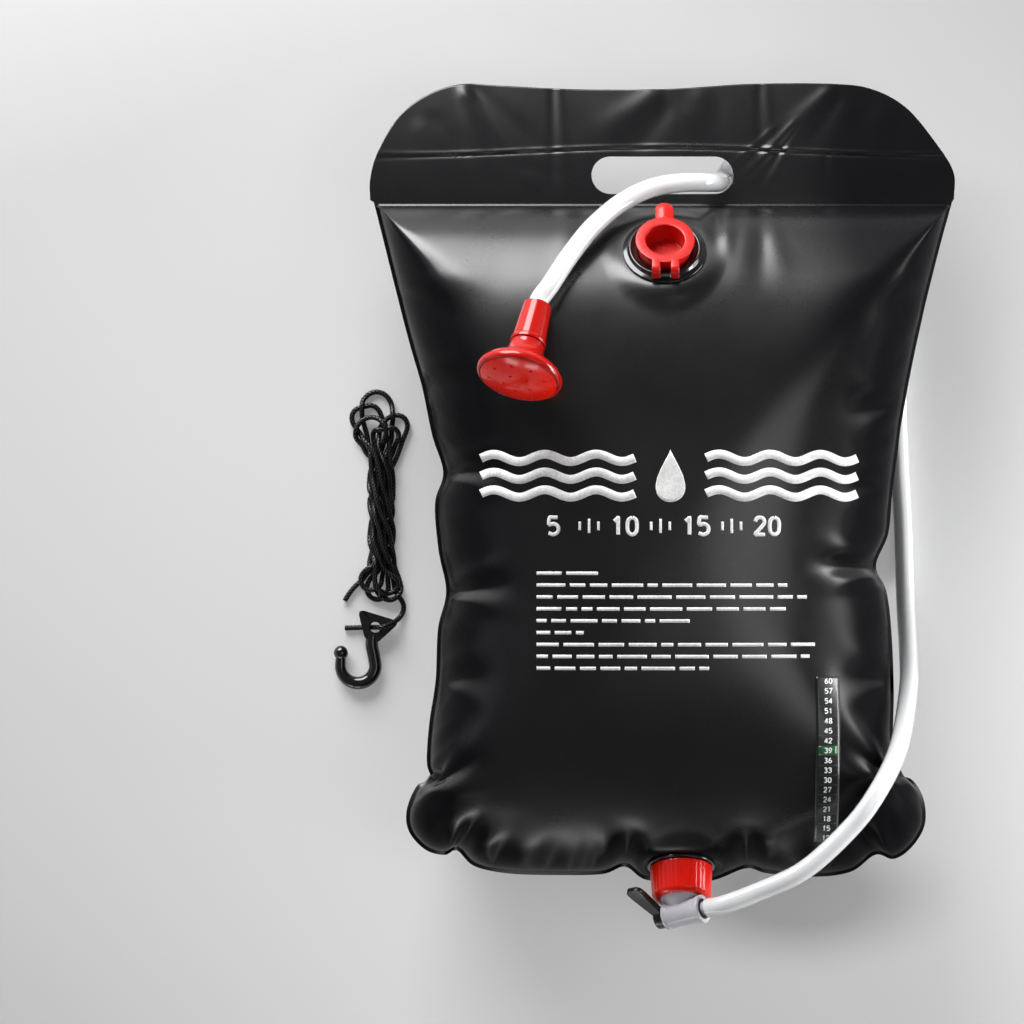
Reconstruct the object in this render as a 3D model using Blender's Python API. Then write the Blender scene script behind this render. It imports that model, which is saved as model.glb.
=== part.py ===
"""Camp shower bag, filled, lying on its back in the sun.

X runs across the bag, Y from the outlet end to the handle, Z up from the ground to the bag's front.
All sizes are in metres. The origin is on the ground under the middle of the pouch.
"""

import math

import bmesh
import bpy
import numpy as np
from mathutils import Matrix, Vector

MM = 0.001

# Clearances
GAP = 0.3 * MM
PIN_CLEARANCE = 0.08 * MM
CUT_OVERRUN = 6 * MM
MERGE_REACH = 0.002 * MM

# Facets round each turned piece
LARGE_STEPS = 30
MEDIUM_STEPS = 26
SMALL_STEPS = 22
PORT_STEPS = 16
PIN_STEPS = 12
EYE_STEPS = 20
ARC_STEPS = 8
TAB_STEPS = 10

# Bag: two sheets welded round the edge
BAG_WIDTH = 420 * MM
POUCH_HEIGHT = 488 * MM
FLAP_HEIGHT = 86 * MM
SHEET_THICKNESS = 0.6 * MM
WELD_WIDTH = 5 * MM
SEAM_HEIGHT = 78 * MM
FRONT_BULGE = 96 * MM
BACK_BULGE = 104 * MM
FLAP_DROOP = 14 * MM
BULGE_POWER = 2.6

# Grid of each sheet: points along the top weld, rings of the pouch as shares of its half size, rows of the
# flap, passes that round the rings, and how far a fitting's flat seat eases out, as a share of its radius
TOP_POINTS = 17
RING_SHARES = (0.16, 0.34, 0.52, 0.68, 0.80, 0.89, 0.955, 0.99)
PINCH_POWER = 5
FLAP_ROWS = 6
FLAP_DROOP_POWER = 1.6
ROUNDING_PASSES = 12
FLATTEN_SPREAD_SHARE = 0.55

# Handle slot through both sheets of the flap
SLOT_LENGTH = 102 * MM
SLOT_WIDTH = 27 * MM
SLOT_ABOVE_WELD = 16 * MM
SLOT_CUT_BASE = 30 * MM

# Temperature strip on the front sheet
STRIP_WIDTH = 17 * MM
STRIP_LENGTH = 118 * MM
STRIP_THICKNESS = 0.4 * MM
STRIP_ROW = 8 * MM
STRIP_INSET = 95.5 * MM
STRIP_ABOVE_FOOT = 87 * MM
STRIP_GRID_COLUMNS = 3

# Filler neck, its stopper and the hinge between them
FILLER_BELOW_TOP = 41.5 * MM
FILLER_TILT = math.radians(38)
FILLER_RISE = 57 * MM
FLANGE_RADIUS = 29.7 * MM
FLANGE_EDGE = 1.2 * MM
RIDGE_RADIUS = 25 * MM
RIDGE_HEIGHT = 4.8 * MM
RIDGE_WIDTH = 1.0 * MM
NECK_BORE_RADIUS = 19.3 * MM
NECK_WALL = 2.7 * MM
NECK_DEPTH = 6 * MM
NECK_MOUTH = 2.4 * MM
STOPPER_HEIGHT = 13 * MM
STOPPER_TAPER = 1.6 * MM
RIM_OVERHANG = 1.6 * MM
RIM_THICKNESS = 2 * MM
RECESS_RADIUS = 13.85 * MM
RECESS_DEPTH = 16 * MM
TAB_WIDTH = 13 * MM
TAB_LENGTH = 14 * MM
TAB_THICKNESS = 2.4 * MM
HINGE_ARM_WIDTH = 6 * MM
HINGE_ARM_THICKNESS = 2.8 * MM
HINGE_ARM_SPACING = 13.4 * MM
HINGE_HEIGHT = 4.4 * MM
HINGE_PIN_RADIUS = 1.0 * MM
HINGE_EYE_WALL = 0.4 * MM
PLUG_CLEARANCE = 0.4 * MM
RECESS_DRAFT = 0.5 * MM
RIDGE_ROUND = 0.4 * MM
FLANGE_RISE = 0.8 * MM
TAB_STEP = 0.3 * MM

# Outlet spout, union nut and tap, along an axis that leans out of the bottom of the front sheet
OUTLET_X = 12.6 * MM
OUTLET_ABOVE_SEAM = 10 * MM
OUTLET_RISE = 26 * MM
OUTLET_TILT = math.radians(24)
OUTLET_FLANGE_RADIUS = 24 * MM
OUTLET_FLANGE_THICKNESS = 2 * MM
SPOUT_RADIUS = 18 * MM
SPOUT_BORE_RADIUS = 14.5 * MM
SPOUT_LENGTH = 17 * MM
GASKET_THICKNESS = 2 * MM
NUT_RADIUS = 22.2 * MM
NUT_TAPER = 1.2 * MM
NUT_LENGTH = 23.5 * MM
NUT_START = 2.5 * MM
NUT_MOUTH_RADIUS = 15.6 * MM
NUT_RIB_HEIGHT = 0.6 * MM
NUT_RIBS = 30
NUT_LIP = 2.4 * MM
SOCKET_WALL = 2.6 * MM
TAP_DISC_THICKNESS = 2.2 * MM
BARREL_RADIUS = 9.8 * MM
BARREL_LENGTH = 30 * MM
BARREL_BORE_RADIUS = 7.2 * MM
BARREL_OFFSET = 3 * MM
BARREL_TURN = math.radians(32.5)
TAP_PORT_RADIUS = 4 * MM
TAP_NECK_RISE = 1.5 * MM
PLUG_LENGTH_FREE = 6 * MM
PLUG_WALL = 2.4 * MM
LEVER_HUB_RADIUS = 8 * MM
LEVER_HUB_THICKNESS = 7.5 * MM
LEVER_LENGTH = 35 * MM
LEVER_TIP_WIDTH = 11.5 * MM
LEVER_ROOT_WIDTH = 7 * MM
LEVER_THICKNESS = 5.5 * MM
LEVER_SPLAY = math.radians(10)
LEVER_REST = math.radians(20)
SEAL_THICKNESS = 2.2 * MM
TAIL_WALL = 1.4 * MM
TAIL_LENGTH = 3.5 * MM

# Hose
HOSE_RADIUS = 7.0 * MM
HOSE_BORE_RADIUS = 4.9 * MM
HOSE_POINT_SPACING = 20 * MM

# Shower rose
ROSE_INSET = 119.9 * MM
ROSE_BELOW_TOP = 81 * MM
ROSE_ABOVE_SEAM = 87.8 * MM
ROSE_LEAN = math.radians(28)
ROSE_AZIMUTH = math.radians(-104.5)
SOCKET_LENGTH = 32 * MM
SOCKET_TOP_RADIUS = 10 * MM
SOCKET_END_RADIUS = 12.7 * MM
SOCKET_HOLE_DEPTH = 14 * MM
SOCKET_TAIL_RADIUS = 8.0 * MM
SOCKET_TAIL_LENGTH = 10 * MM
SOCKET_LIP = 3 * MM
SEAL_RING_RADIUS = 1.1 * MM
BELL_NECK_RADIUS = 12 * MM
BELL_CONE_RADIUS = 19 * MM
BELL_CONE_LENGTH = 14.5 * MM
BELL_RADIUS = 30.5 * MM
BELL_LENGTH = 29 * MM
BELL_WALL = 2 * MM
BELL_RIM = 4 * MM
FACE_RADIUS = 27.5 * MM
FACE_THICKNESS = 1.8 * MM
FACE_DOME = 3.5 * MM
SPRAY_HOLE_RADIUS = 0.9 * MM
FACE_RINGS = 3
SPRAY_HOLE_STEPS = 8
SPRAY_RINGS = ((0.36, 5), (0.74, 9))
BELL_SWELL_SHARES = ((0.62, 0.35), (0.92, 0.72))
BELL_INNER_SWELL_SHARE = 0.3

# Hanging cord, put up as a hank, and its hook
CORD_RADIUS = 1.9 * MM
CORD_PITCH = 4.65 * MM
HANK_INSET = 3.5 * MM
HANK_Y = 30 * MM
HANK_LENGTH = 156 * MM
HANK_LOOPS = 5
HANK_TOP_FLARE = 12 * MM
HANK_FOOT_FLARE = 7 * MM
HANK_POINTS_PER_LOOP = 24
INNER_RING_SHARE = 0.27
WAIST_SHARE = 0.35
LEG_STRAIGHT_SHARE = 0.6
CLIMB_SHARE = 0.36
MIDDLE_SHARE = 0.5
HANK_OPEN_SHARE = 0.42
LOOP_SLOPE_STEP = math.radians(4)
NEIGHBOUR_SHARE = 8
HOOK_INSET = 2 * MM
HOOK_Y = -66.3 * MM
HOOK_ROD_RADIUS = 4.7 * MM
HOOK_TIP_RADIUS = 3.6 * MM
HOOK_BALL_RADIUS = 5.3 * MM
HOOK_BEND_RADIUS = 12.8 * MM
HOOK_SHANK_LENGTH = 28 * MM
HOOK_TIP_RISE = 9.3 * MM
HOOK_HEAD_THICKNESS = 4 * MM
HOOK_HEAD_SIDE = 27 * MM
HOOK_EYE_RADIUS = 3.9 * MM
HEAD_TOP_SHARE = 0.27
HEAD_FOOT_SHARE = 0.34
HEAD_WIDE_SHARE = 0.52
HEAD_CORNER_SHARE = 0.44
HEAD_ROUND_SHARE = 0.3
SHANK_BEND_SHARES = ((0.5, 0.21), (0.55, 0.48), (0.2, 0.76))
TIP_LEAN_SHARE = 0.97
BEND_STEPS = 10
TAPER_STEPS = 5
HOOK_SIDES = 10
HOOK_TURN = math.radians(-17)


def clear_scene():
    for item in list(bpy.data.objects):
        bpy.data.objects.remove(item)


def make_material(name, colour, roughness, metallic=0.0):
    material = bpy.data.materials.new(name)
    material.use_nodes = True
    shader = material.node_tree.nodes["Principled BSDF"]
    shader.inputs["Base Color"].default_value = (*colour, 1.0)
    shader.inputs["Roughness"].default_value = roughness
    shader.inputs["Metallic"].default_value = metallic
    return material


def add_empty(name, location, rotation=(0, 0, 0), parent=None):
    empty = bpy.data.objects.new(name, None)
    bpy.context.scene.collection.objects.link(empty)
    empty.location = location
    empty.rotation_euler = rotation
    empty.parent = parent
    return empty


def add_piece(name, shape, material, parent=None, location=(0, 0, 0), smooth_angle=math.radians(35)):
    """Turn a bmesh into a named object with one material."""
    mesh = bpy.data.meshes.new(name)
    shape.to_mesh(mesh)
    shape.free()
    mesh.materials.append(material)
    mesh.shade_smooth()
    mesh.set_sharp_from_angle(angle=smooth_angle)
    piece = bpy.data.objects.new(name, mesh)
    bpy.context.scene.collection.objects.link(piece)
    piece.parent = parent
    piece.location = location
    return piece


def turned(profile, steps):
    """Spin a closed profile of (radius, height) points about Z into a solid."""
    shape = bmesh.new()
    points = [shape.verts.new((radius, 0, height)) for radius, height in profile]
    pairs = [(a, b) for a, b in zip(points, points[1:] + points[:1]) if a.co.x > 0 or b.co.x > 0]
    edges = [shape.edges.new(pair) for pair in pairs]
    bmesh.ops.spin(shape, geom=points + edges, axis=(0, 0, 1), cent=(0, 0, 0), angle=2 * math.pi,
                   steps=steps, use_merge=True, use_duplicate=False)
    bmesh.ops.remove_doubles(shape, verts=shape.verts, dist=MERGE_REACH)
    bmesh.ops.dissolve_degenerate(shape, edges=shape.edges, dist=MERGE_REACH / 2)
    bmesh.ops.recalc_face_normals(shape, faces=shape.faces)
    return shape


def rotate_shape(shape, angle, axis):
    bmesh.ops.rotate(shape, verts=shape.verts, cent=(0, 0, 0), matrix=Matrix.Rotation(angle, 3, axis))
    return shape


def prism(outline, low, high):
    """Extrude a closed flat outline of (x, y) points from height low to height high."""
    shape = bmesh.new()
    face = shape.faces.new([shape.verts.new((x, y, low)) for x, y in outline])
    lifted = bmesh.ops.extrude_face_region(shape, geom=[face])
    moved = [item for item in lifted["geom"] if isinstance(item, bmesh.types.BMVert)]
    bmesh.ops.translate(shape, verts=moved, vec=(0, 0, high - low))
    bmesh.ops.recalc_face_normals(shape, faces=shape.faces)
    return shape


def rounded_slot(length, width, steps):
    """Outline of a slot with half-round ends, centred on the origin, along X."""
    radius, reach = width / 2, (length - width) / 2
    turns = [math.pi * (i / steps - 0.5) for i in range(steps + 1)]
    right = [(reach + radius * math.cos(t), radius * math.sin(t)) for t in turns]
    return right + [(-x, -y) for x, y in right]


def boolean(piece, tool_shape, operation, name, place=None):
    """Cut or join a shape with a piece; the tool is a hidden wire object in the piece's own place."""
    mesh = bpy.data.meshes.new(name)
    tool_shape.to_mesh(mesh)
    tool_shape.free()
    tool = bpy.data.objects.new(name, mesh)
    bpy.context.scene.collection.objects.link(tool)
    tool.parent = piece.parent
    tool.matrix_basis = place if place is not None else piece.matrix_basis
    tool.hide_render = True
    tool.display_type = "WIRE"
    modifier = piece.modifiers.new(name, "BOOLEAN")
    modifier.operation = operation
    modifier.solver = "EXACT"
    modifier.object = tool
    return tool


def smooth_route(points, spacing, closed=False):
    """Points at an even spacing on a Catmull-Rom curve through the given points."""
    points = np.array([tuple(p) for p in points], dtype=float)
    if closed:
        padded = np.vstack([points[-1], points, points[:2]])
    else:
        padded = np.vstack([2 * points[0] - points[1], points, 2 * points[-1] - points[-2]])
    share = np.linspace(0, 1, 24, endpoint=False)[:, None]
    pieces = []
    for a, b, c, d in zip(padded, padded[1:], padded[2:], padded[3:]):
        pieces.append(0.5 * (2 * b + (c - a) * share + (2 * a - 5 * b + 4 * c - d) * share ** 2
                             + (3 * b - a - 3 * c + d) * share ** 3))
    fine = np.vstack(pieces + [points[:1] if closed else points[-1:]])
    run = np.concatenate([[0], np.cumsum(np.linalg.norm(np.diff(fine, axis=0), axis=1))])
    count = max(2, round(run[-1] / spacing))
    wanted = np.linspace(0, run[-1], count + 1)
    even = np.column_stack([np.interp(wanted, run, fine[:, i]) for i in range(3)])
    return even[:-1] if closed else even


def add_tube(name, points, radius, resolution, material):
    """A cord or hose: one open poly curve with a round bevel and filled ends."""
    curve = bpy.data.curves.new(name, "CURVE")
    curve.dimensions = "3D"
    curve.bevel_depth = radius
    curve.bevel_resolution = resolution
    curve.use_fill_caps = True
    spline = curve.splines.new("POLY")
    spline.points.add(len(points) - 1)
    for knot, point in zip(spline.points, points):
        knot.co = (*point, 1)
    curve.materials.append(material)
    tube = bpy.data.objects.new(name, curve)
    bpy.context.scene.collection.objects.link(tube)
    return tube


# Edge of the welded pouch as shares of half the bag's width and half the pouch's height,
# anticlockwise from the top right corner of the pouch.
POUCH_EDGE_SHARES = (
    (0.990, 0.985), (0.50, 0.985), (0.0, 0.985), (-0.50, 0.985), (-0.987, 0.985),
    (-0.945, 0.84), (-0.904, 0.698), (-0.862, 0.56), (-0.822, 0.44), (-0.788, 0.30), (-0.750, 0.190),
    (-0.778, 0.10), (-0.766, -0.04), (-0.740, -0.160), (-0.768, -0.27), (-0.776, -0.42), (-0.798, -0.55),
    (-0.806, -0.665), (-0.788, -0.718), (-0.836, -0.728), (-0.874, -0.80), (-0.868, -0.865),
    (-0.812, -0.920), (-0.745, -0.936), (-0.703, -0.922), (-0.645, -0.968), (-0.53, -0.990),
    (-0.36, -0.995), (-0.205, -0.992), (-0.128, -0.970), (-0.06, -1.008), (0.06, -1.015),
    (0.175, -1.010), (0.286, -0.975), (0.36, -0.990), (0.52, -1.000), (0.645, -0.985),
    (0.728, -0.935), (0.790, -0.948), (0.850, -0.915), (0.896, -0.85), (0.894, -0.775),
    (0.855, -0.715), (0.795, -0.692), (0.788, -0.60), (0.791, -0.45), (0.783, -0.28), (0.766, -0.16),
    (0.730, -0.085), (0.772, 0.01), (0.786, 0.13), (0.804, 0.25), (0.818, 0.34), (0.850, 0.49),
    (0.882, 0.62), (0.906, 0.71), (0.95, 0.86),
)

# Edge of the handle flap from its right foot round to its left foot, as shares of half the bag's
# width and the flap's height above the weld.
FLAP_EDGE_SHARES = (
    (0.997, 0.03), (0.995, 0.26), (0.93, 0.52), (0.835, 0.80), (0.72, 0.955), (0.585, 1.0),
    (0.30, 1.0), (0.0, 0.955), (-0.30, 0.955), (-0.55, 0.985), (-0.68, 1.0), (-0.795, 0.92),
    (-0.90, 0.73), (-0.975, 0.42), (-1.0, 0.19), (-1.0, 0.02),
)


def resample(points, count):
    """Points at an even spacing along an open polyline of (x, y) points."""
    points = np.array(points, dtype=float)
    run = np.concatenate([[0], np.cumsum(np.linalg.norm(np.diff(points, axis=0), axis=1))])
    wanted = np.linspace(0, run[-1], count)
    return np.column_stack([np.interp(wanted, run, points[:, i]) for i in range(2)])


def pouch_outline():
    """The pouch's welded edge in plan: first the straight top, left to right reversed, then the rest."""
    half = np.array([BAG_WIDTH / 2, POUCH_HEIGHT / 2])
    edge = np.array(POUCH_EDGE_SHARES) * half
    top = resample(edge[:5], TOP_POINTS)
    return top, edge[4:]


def inset(points, width):
    """Move a closed outline inward by a width, along the mean normal at each point."""
    ahead = np.roll(points, -1, axis=0) - np.roll(points, 1, axis=0)
    normal = np.column_stack([-ahead[:, 1], ahead[:, 0]])
    normal /= np.linalg.norm(normal, axis=1)[:, None]
    return points + normal * width


def sheet_loops():
    """Closed plan loops from the middle of the pouch out to its welded edge, all with like points."""
    top, rest = pouch_outline()
    edge = np.vstack([top, rest[1:]])
    weld = inset(edge, WELD_WIDTH)
    plain = weld.copy()
    for _ in range(ROUNDING_PASSES):
        plain = (np.roll(plain, 1, axis=0) + plain + np.roll(plain, -1, axis=0)) / 3
    loops = []
    for share in RING_SHARES:
        pinch = share ** PINCH_POWER
        loops.append(share * (plain * (1 - pinch) + weld * pinch))
    loops.append(weld)
    return loops, edge, len(top)


def bulge(share, height):
    """Height of the filled sheet over the seam plane, from 0 at the weld to its crown."""
    return height * np.sqrt(np.maximum(0, 1 - share ** BULGE_POWER))


def flap_height(y):
    """The flap's fall below the seam plane as it leaves the weld."""
    share = np.clip((y - POUCH_HEIGHT / 2) / FLAP_HEIGHT, 0, 1)
    return SEAM_HEIGHT - FLAP_DROOP * share ** FLAP_DROOP_POWER


def filler_frame():
    place = Vector((0, POUCH_HEIGHT / 2 - FILLER_BELOW_TOP, SEAM_HEIGHT + FILLER_RISE))
    return Matrix.Translation(place) @ Matrix.Rotation(-FILLER_TILT, 4, "X")


def outlet_frame():
    place = Vector((OUTLET_X, -POUCH_HEIGHT / 2 + OUTLET_ABOVE_SEAM, SEAM_HEIGHT + OUTLET_RISE))
    return Matrix.Translation(place) @ Matrix.Rotation(math.radians(90) - OUTLET_TILT, 4, "X")


def flatten_at(points, frame, radius, offset):
    """Press the sheet's points near a welded fitting onto the fitting's own plane."""
    local = (np.linalg.inv(np.array(frame)) @ np.column_stack([points, np.ones(len(points))]).T).T[:, :3]
    away = np.hypot(local[:, 0], local[:, 1])
    share = np.clip((away - radius) / (FLATTEN_SPREAD_SHARE * radius), 0, 1)
    weight = np.where(local[:, 2] > -radius, 1 - share * share * (3 - 2 * share), 0)
    local[:, 2] = local[:, 2] * (1 - weight) + offset * weight
    return (np.array(frame) @ np.column_stack([local, np.ones(len(points))]).T).T[:, :3]


def sheet_surface(side):
    """The wet face of one sheet as a mesh: rings over the pouch, the weld, and the flap beyond it."""
    loops, edge, top_count = sheet_loops()
    height = FRONT_BULGE if side > 0 else BACK_BULGE
    seam = SEAM_HEIGHT + side * GAP / 2
    count = len(edge)
    rows = []
    for share, loop in zip(RING_SHARES + (1.0,), loops):
        z = np.full(count, seam) + side * bulge(np.full(count, share), height)
        rows.append(np.column_stack([loop, z]))
    rows.append(np.column_stack([edge, np.full(count, seam)]))
    centre = np.array([[0, 0, seam + side * height]])
    points = np.vstack([centre] + rows)
    points[:, 2] = np.maximum(points[:, 2], SHEET_THICKNESS)
    if side > 0:
        filled = points[:-2 * count]
        filled = flatten_at(filled, filler_frame(), FLANGE_RADIUS, -GAP - SHEET_THICKNESS)
        filled = flatten_at(filled, outlet_frame(), OUTLET_FLANGE_RADIUS, -GAP - SHEET_THICKNESS)
        filled[:, 2] = np.maximum(filled[:, 2], seam)
        points[:-2 * count] = filled
    faces = [(0, 1 + i, 1 + (i + 1) % count) for i in range(count)]
    for row in range(len(rows) - 1):
        a, b = 1 + row * count, 1 + (row + 1) * count
        faces += [(a + i, b + i, b + (i + 1) % count, a + (i + 1) % count) for i in range(count)]
    points, faces = add_flap(points, faces, edge[:top_count], 1 + (len(rows) - 1) * count, side)
    return points, faces


def add_flap(points, faces, weld_top, first, side):
    """Rows of points from the top weld up to the flap's curved edge."""
    half = np.array([BAG_WIDTH / 2, FLAP_HEIGHT])
    foot = np.array([0, weld_top[0, 1]])
    edge = resample(np.array(FLAP_EDGE_SHARES) * half + foot, len(weld_top))
    last = np.arange(first, first + len(weld_top))
    for row in range(1, FLAP_ROWS + 1):
        share = row / FLAP_ROWS
        plan = weld_top * (1 - share) + edge * share
        z = flap_height(plan[:, 1]) + side * GAP / 2
        start = len(points)
        points = np.vstack([points, np.column_stack([plan, z])])
        new = np.arange(start, start + len(weld_top))
        faces += [(last[i], new[i], new[i + 1], last[i + 1]) for i in range(len(weld_top) - 1)]
        last = new
    return points, faces


def add_sheet(name, side, material):
    """One PVC sheet: its wet face, thickened outward, with the handle slot cut through."""
    points, faces = sheet_surface(side)
    shape = bmesh.new()
    verts = [shape.verts.new(p) for p in points]
    for face in faces:
        shape.faces.new([verts[i] for i in face])
    shape.normal_update()
    if verts[0].link_faces[0].normal.z * side < 0:
        bmesh.ops.reverse_faces(shape, faces=shape.faces)
    bmesh.ops.triangulate(shape, faces=shape.faces)
    sheet = add_piece(name, shape, material)
    wall = sheet.modifiers.new("thickness", "SOLIDIFY")
    wall.thickness = SHEET_THICKNESS
    wall.offset = 1
    slot = prism(rounded_slot(SLOT_LENGTH, SLOT_WIDTH, 6), -CUT_OVERRUN, SEAM_HEIGHT + CUT_OVERRUN)
    slot_y = POUCH_HEIGHT / 2 + SLOT_ABOVE_WELD
    boolean(sheet, slot, "DIFFERENCE", name + "_slot_cut", Matrix.Translation((0, slot_y, SLOT_CUT_BASE)))
    return sheet


def make_bag(materials):
    front = add_sheet("front_sheet", 1, materials["sheet"])
    back = add_sheet("back_sheet", -1, materials["sheet"])
    neck = turned([(0, -NECK_DEPTH), (NECK_BORE_RADIUS + NECK_WALL + GAP, -NECK_DEPTH),
                   (NECK_BORE_RADIUS + NECK_WALL + GAP, NECK_DEPTH), (0, NECK_DEPTH)], LARGE_STEPS)
    boolean(front, neck, "DIFFERENCE", "filler_hole_cut", filler_frame())
    hole = turned([(0, -NECK_DEPTH), (SPOUT_BORE_RADIUS, -NECK_DEPTH), (SPOUT_BORE_RADIUS, NECK_DEPTH),
                   (0, NECK_DEPTH)], MEDIUM_STEPS)
    boolean(front, hole, "DIFFERENCE", "outlet_hole_cut", outlet_frame())
    return front, back


def side_prism(outline, low, high):
    """Extrude a closed outline of (y, z) points along X."""
    shape = prism(outline, low, high)
    turn = Matrix(((0, 0, 1, 0), (1, 0, 0, 0), (0, 1, 0, 0), (0, 0, 0, 1)))
    bmesh.ops.transform(shape, matrix=turn, verts=shape.verts)
    return shape


def shifted(shape, offset):
    bmesh.ops.translate(shape, verts=shape.verts, vec=offset)
    return shape


def rod(radius, low, high, steps):
    """A plain round bar along Z."""
    return turned([(0, low), (radius, low), (radius, high), (0, high)], steps)


def rod_along_x(radius, length, steps):
    return rotate_shape(rod(radius, -length / 2, length / 2, steps), math.radians(90), "Y")


def place_empty(name, frame):
    empty = add_empty(name, frame.translation, frame.to_euler())
    return empty


def hinge_point():
    """Middle of the stopper's hinge pin in the filler's own frame."""
    return Vector((0, -(RIDGE_RADIUS + HINGE_ARM_THICKNESS / 2 + GAP), HINGE_HEIGHT))


def eye_outline(foot, radius):
    """Side view of a hinge eye: a round top about the hinge axis on a straight foot."""
    turns = [math.pi * i / ARC_STEPS for i in range(ARC_STEPS + 1)]
    top = [(radius * math.cos(t), radius * math.sin(t)) for t in turns]
    return [(radius, foot)] + top + [(-radius, foot)]


def make_filler_flange(seat, material):
    neck = NECK_BORE_RADIUS + NECK_WALL
    shape = turned([
        (NECK_BORE_RADIUS, -NECK_DEPTH), (neck, -NECK_DEPTH), (neck, 0), (FLANGE_RADIUS, 0),
        (FLANGE_RADIUS, FLANGE_EDGE), (RIDGE_RADIUS + RIDGE_WIDTH, FLANGE_EDGE + FLANGE_RISE),
        (RIDGE_RADIUS, RIDGE_HEIGHT - RIDGE_ROUND), (RIDGE_RADIUS - RIDGE_ROUND, RIDGE_HEIGHT),
        (RIDGE_RADIUS - RIDGE_WIDTH, RIDGE_HEIGHT), (NECK_BORE_RADIUS + RIDGE_WIDTH, NECK_MOUTH),
        (NECK_BORE_RADIUS, NECK_MOUTH - RIDGE_ROUND)], LARGE_STEPS)
    flange = add_piece("filler_flange", shape, material, seat)
    pivot = hinge_point()
    radius = HINGE_ARM_THICKNESS / 2 + HINGE_EYE_WALL
    width = HINGE_ARM_SPACING - HINGE_ARM_WIDTH - 2 * GAP
    lug = shifted(side_prism(eye_outline(FLANGE_EDGE / 2 - pivot.z, radius), -width / 2, width / 2), pivot)
    boolean(flange, lug, "UNION", "hinge_lug_join")
    hole = shifted(rod_along_x(HINGE_PIN_RADIUS + PIN_CLEARANCE, width + CUT_OVERRUN, PORT_STEPS), pivot)
    boolean(flange, hole, "DIFFERENCE", "hinge_lug_hole_cut")
    return flange


def tab_outline(start):
    """Plan of the pull tab: a strip with a round end, from inside the rim outward along Y."""
    radius = TAB_WIDTH / 2
    end = NECK_BORE_RADIUS + RIM_OVERHANG + TAB_LENGTH - radius
    turns = [math.pi * i / TAB_STEPS for i in range(TAB_STEPS + 1)]
    top = [(radius * math.cos(t), end + radius * math.sin(t)) for t in turns]
    return [(radius, start)] + top + [(-radius, start)]


def arm_outline(pivot):
    """Side view of one hinge arm: out from the rim, then down to an eye round the pin."""
    radius = HINGE_ARM_THICKNESS / 2
    inner = NECK_BORE_RADIUS - RIM_THICKNESS
    top = STOPPER_HEIGHT - GAP - pivot.z
    under = top - RIM_THICKNESS
    turns = [math.pi * (1 + i / ARC_STEPS) for i in range(ARC_STEPS + 1)]
    eye = [(radius * math.cos(t), radius * math.sin(t)) for t in turns]
    return [(-inner - pivot.y, top), (-radius, top)] + eye + [(radius, under), (-inner - pivot.y, under)]


def make_stopper(seat, material):
    """The plug is a tapered cup with a flat rim, a tab to pull it by and two hinge arms."""
    pivot = hinge_point()
    plug = NECK_BORE_RADIUS - PLUG_CLEARANCE
    rim = NECK_BORE_RADIUS + RIM_OVERHANG
    under_rim = STOPPER_HEIGHT - RIM_THICKNESS
    floor = STOPPER_HEIGHT - RECESS_DEPTH
    shape = turned([
        (0, -NECK_DEPTH), (plug - STOPPER_TAPER - RIDGE_ROUND, -NECK_DEPTH),
        (plug - STOPPER_TAPER, -NECK_DEPTH + RIDGE_ROUND), (plug, NECK_MOUTH), (plug, under_rim),
        (rim - RIDGE_ROUND, under_rim), (rim, under_rim + RIDGE_ROUND), (rim, STOPPER_HEIGHT - RIDGE_ROUND),
        (rim - RIDGE_ROUND, STOPPER_HEIGHT), (RECESS_RADIUS, STOPPER_HEIGHT),
        (RECESS_RADIUS - RECESS_DRAFT, floor), (0, floor)], LARGE_STEPS)
    stopper = add_piece("filler_stopper", shifted(shape, -pivot), material, seat, pivot)
    tab = prism(tab_outline(RECESS_RADIUS + RIM_THICKNESS), STOPPER_HEIGHT - TAB_THICKNESS,
                STOPPER_HEIGHT - TAB_STEP)
    boolean(stopper, shifted(tab, -pivot), "UNION", "tab_join")
    for side in (-1, 1):
        low = side * HINGE_ARM_SPACING / 2 - HINGE_ARM_WIDTH / 2
        arm = side_prism(arm_outline(pivot), low, low + HINGE_ARM_WIDTH)
        boolean(stopper, arm, "UNION", f"arm_join_{side}")
    hole = rod_along_x(HINGE_PIN_RADIUS + PIN_CLEARANCE, HINGE_ARM_SPACING + 2 * CUT_OVERRUN, PORT_STEPS)
    boolean(stopper, hole, "DIFFERENCE", "arm_hole_cut")
    return stopper


def make_hinge_pin(seat, material):
    length = HINGE_ARM_SPACING + HINGE_ARM_WIDTH
    return add_piece("filler_hinge_pin", rod_along_x(HINGE_PIN_RADIUS, length, PIN_STEPS), material, seat,
                     hinge_point())


def make_filler(materials):
    seat = place_empty("filler_seat", filler_frame())
    make_filler_flange(seat, materials["black plastic"])
    make_stopper(seat, materials["red plastic"])
    make_hinge_pin(seat, materials["black plastic"])


def make_outlet_flange(seat, material):
    shape = turned([
        (SPOUT_BORE_RADIUS, 0), (OUTLET_FLANGE_RADIUS, 0),
        (OUTLET_FLANGE_RADIUS, OUTLET_FLANGE_THICKNESS - RIDGE_ROUND),
        (OUTLET_FLANGE_RADIUS - RIDGE_ROUND, OUTLET_FLANGE_THICKNESS),
        (SPOUT_RADIUS, OUTLET_FLANGE_THICKNESS),
        (SPOUT_RADIUS, SPOUT_LENGTH), (SPOUT_BORE_RADIUS, SPOUT_LENGTH)], MEDIUM_STEPS)
    return add_piece("outlet_flange", shape, material, seat)


def gasket_top():
    return SPOUT_LENGTH + GAP + GASKET_THICKNESS


def disc_top():
    return gasket_top() + GAP + TAP_DISC_THICKNESS


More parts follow.
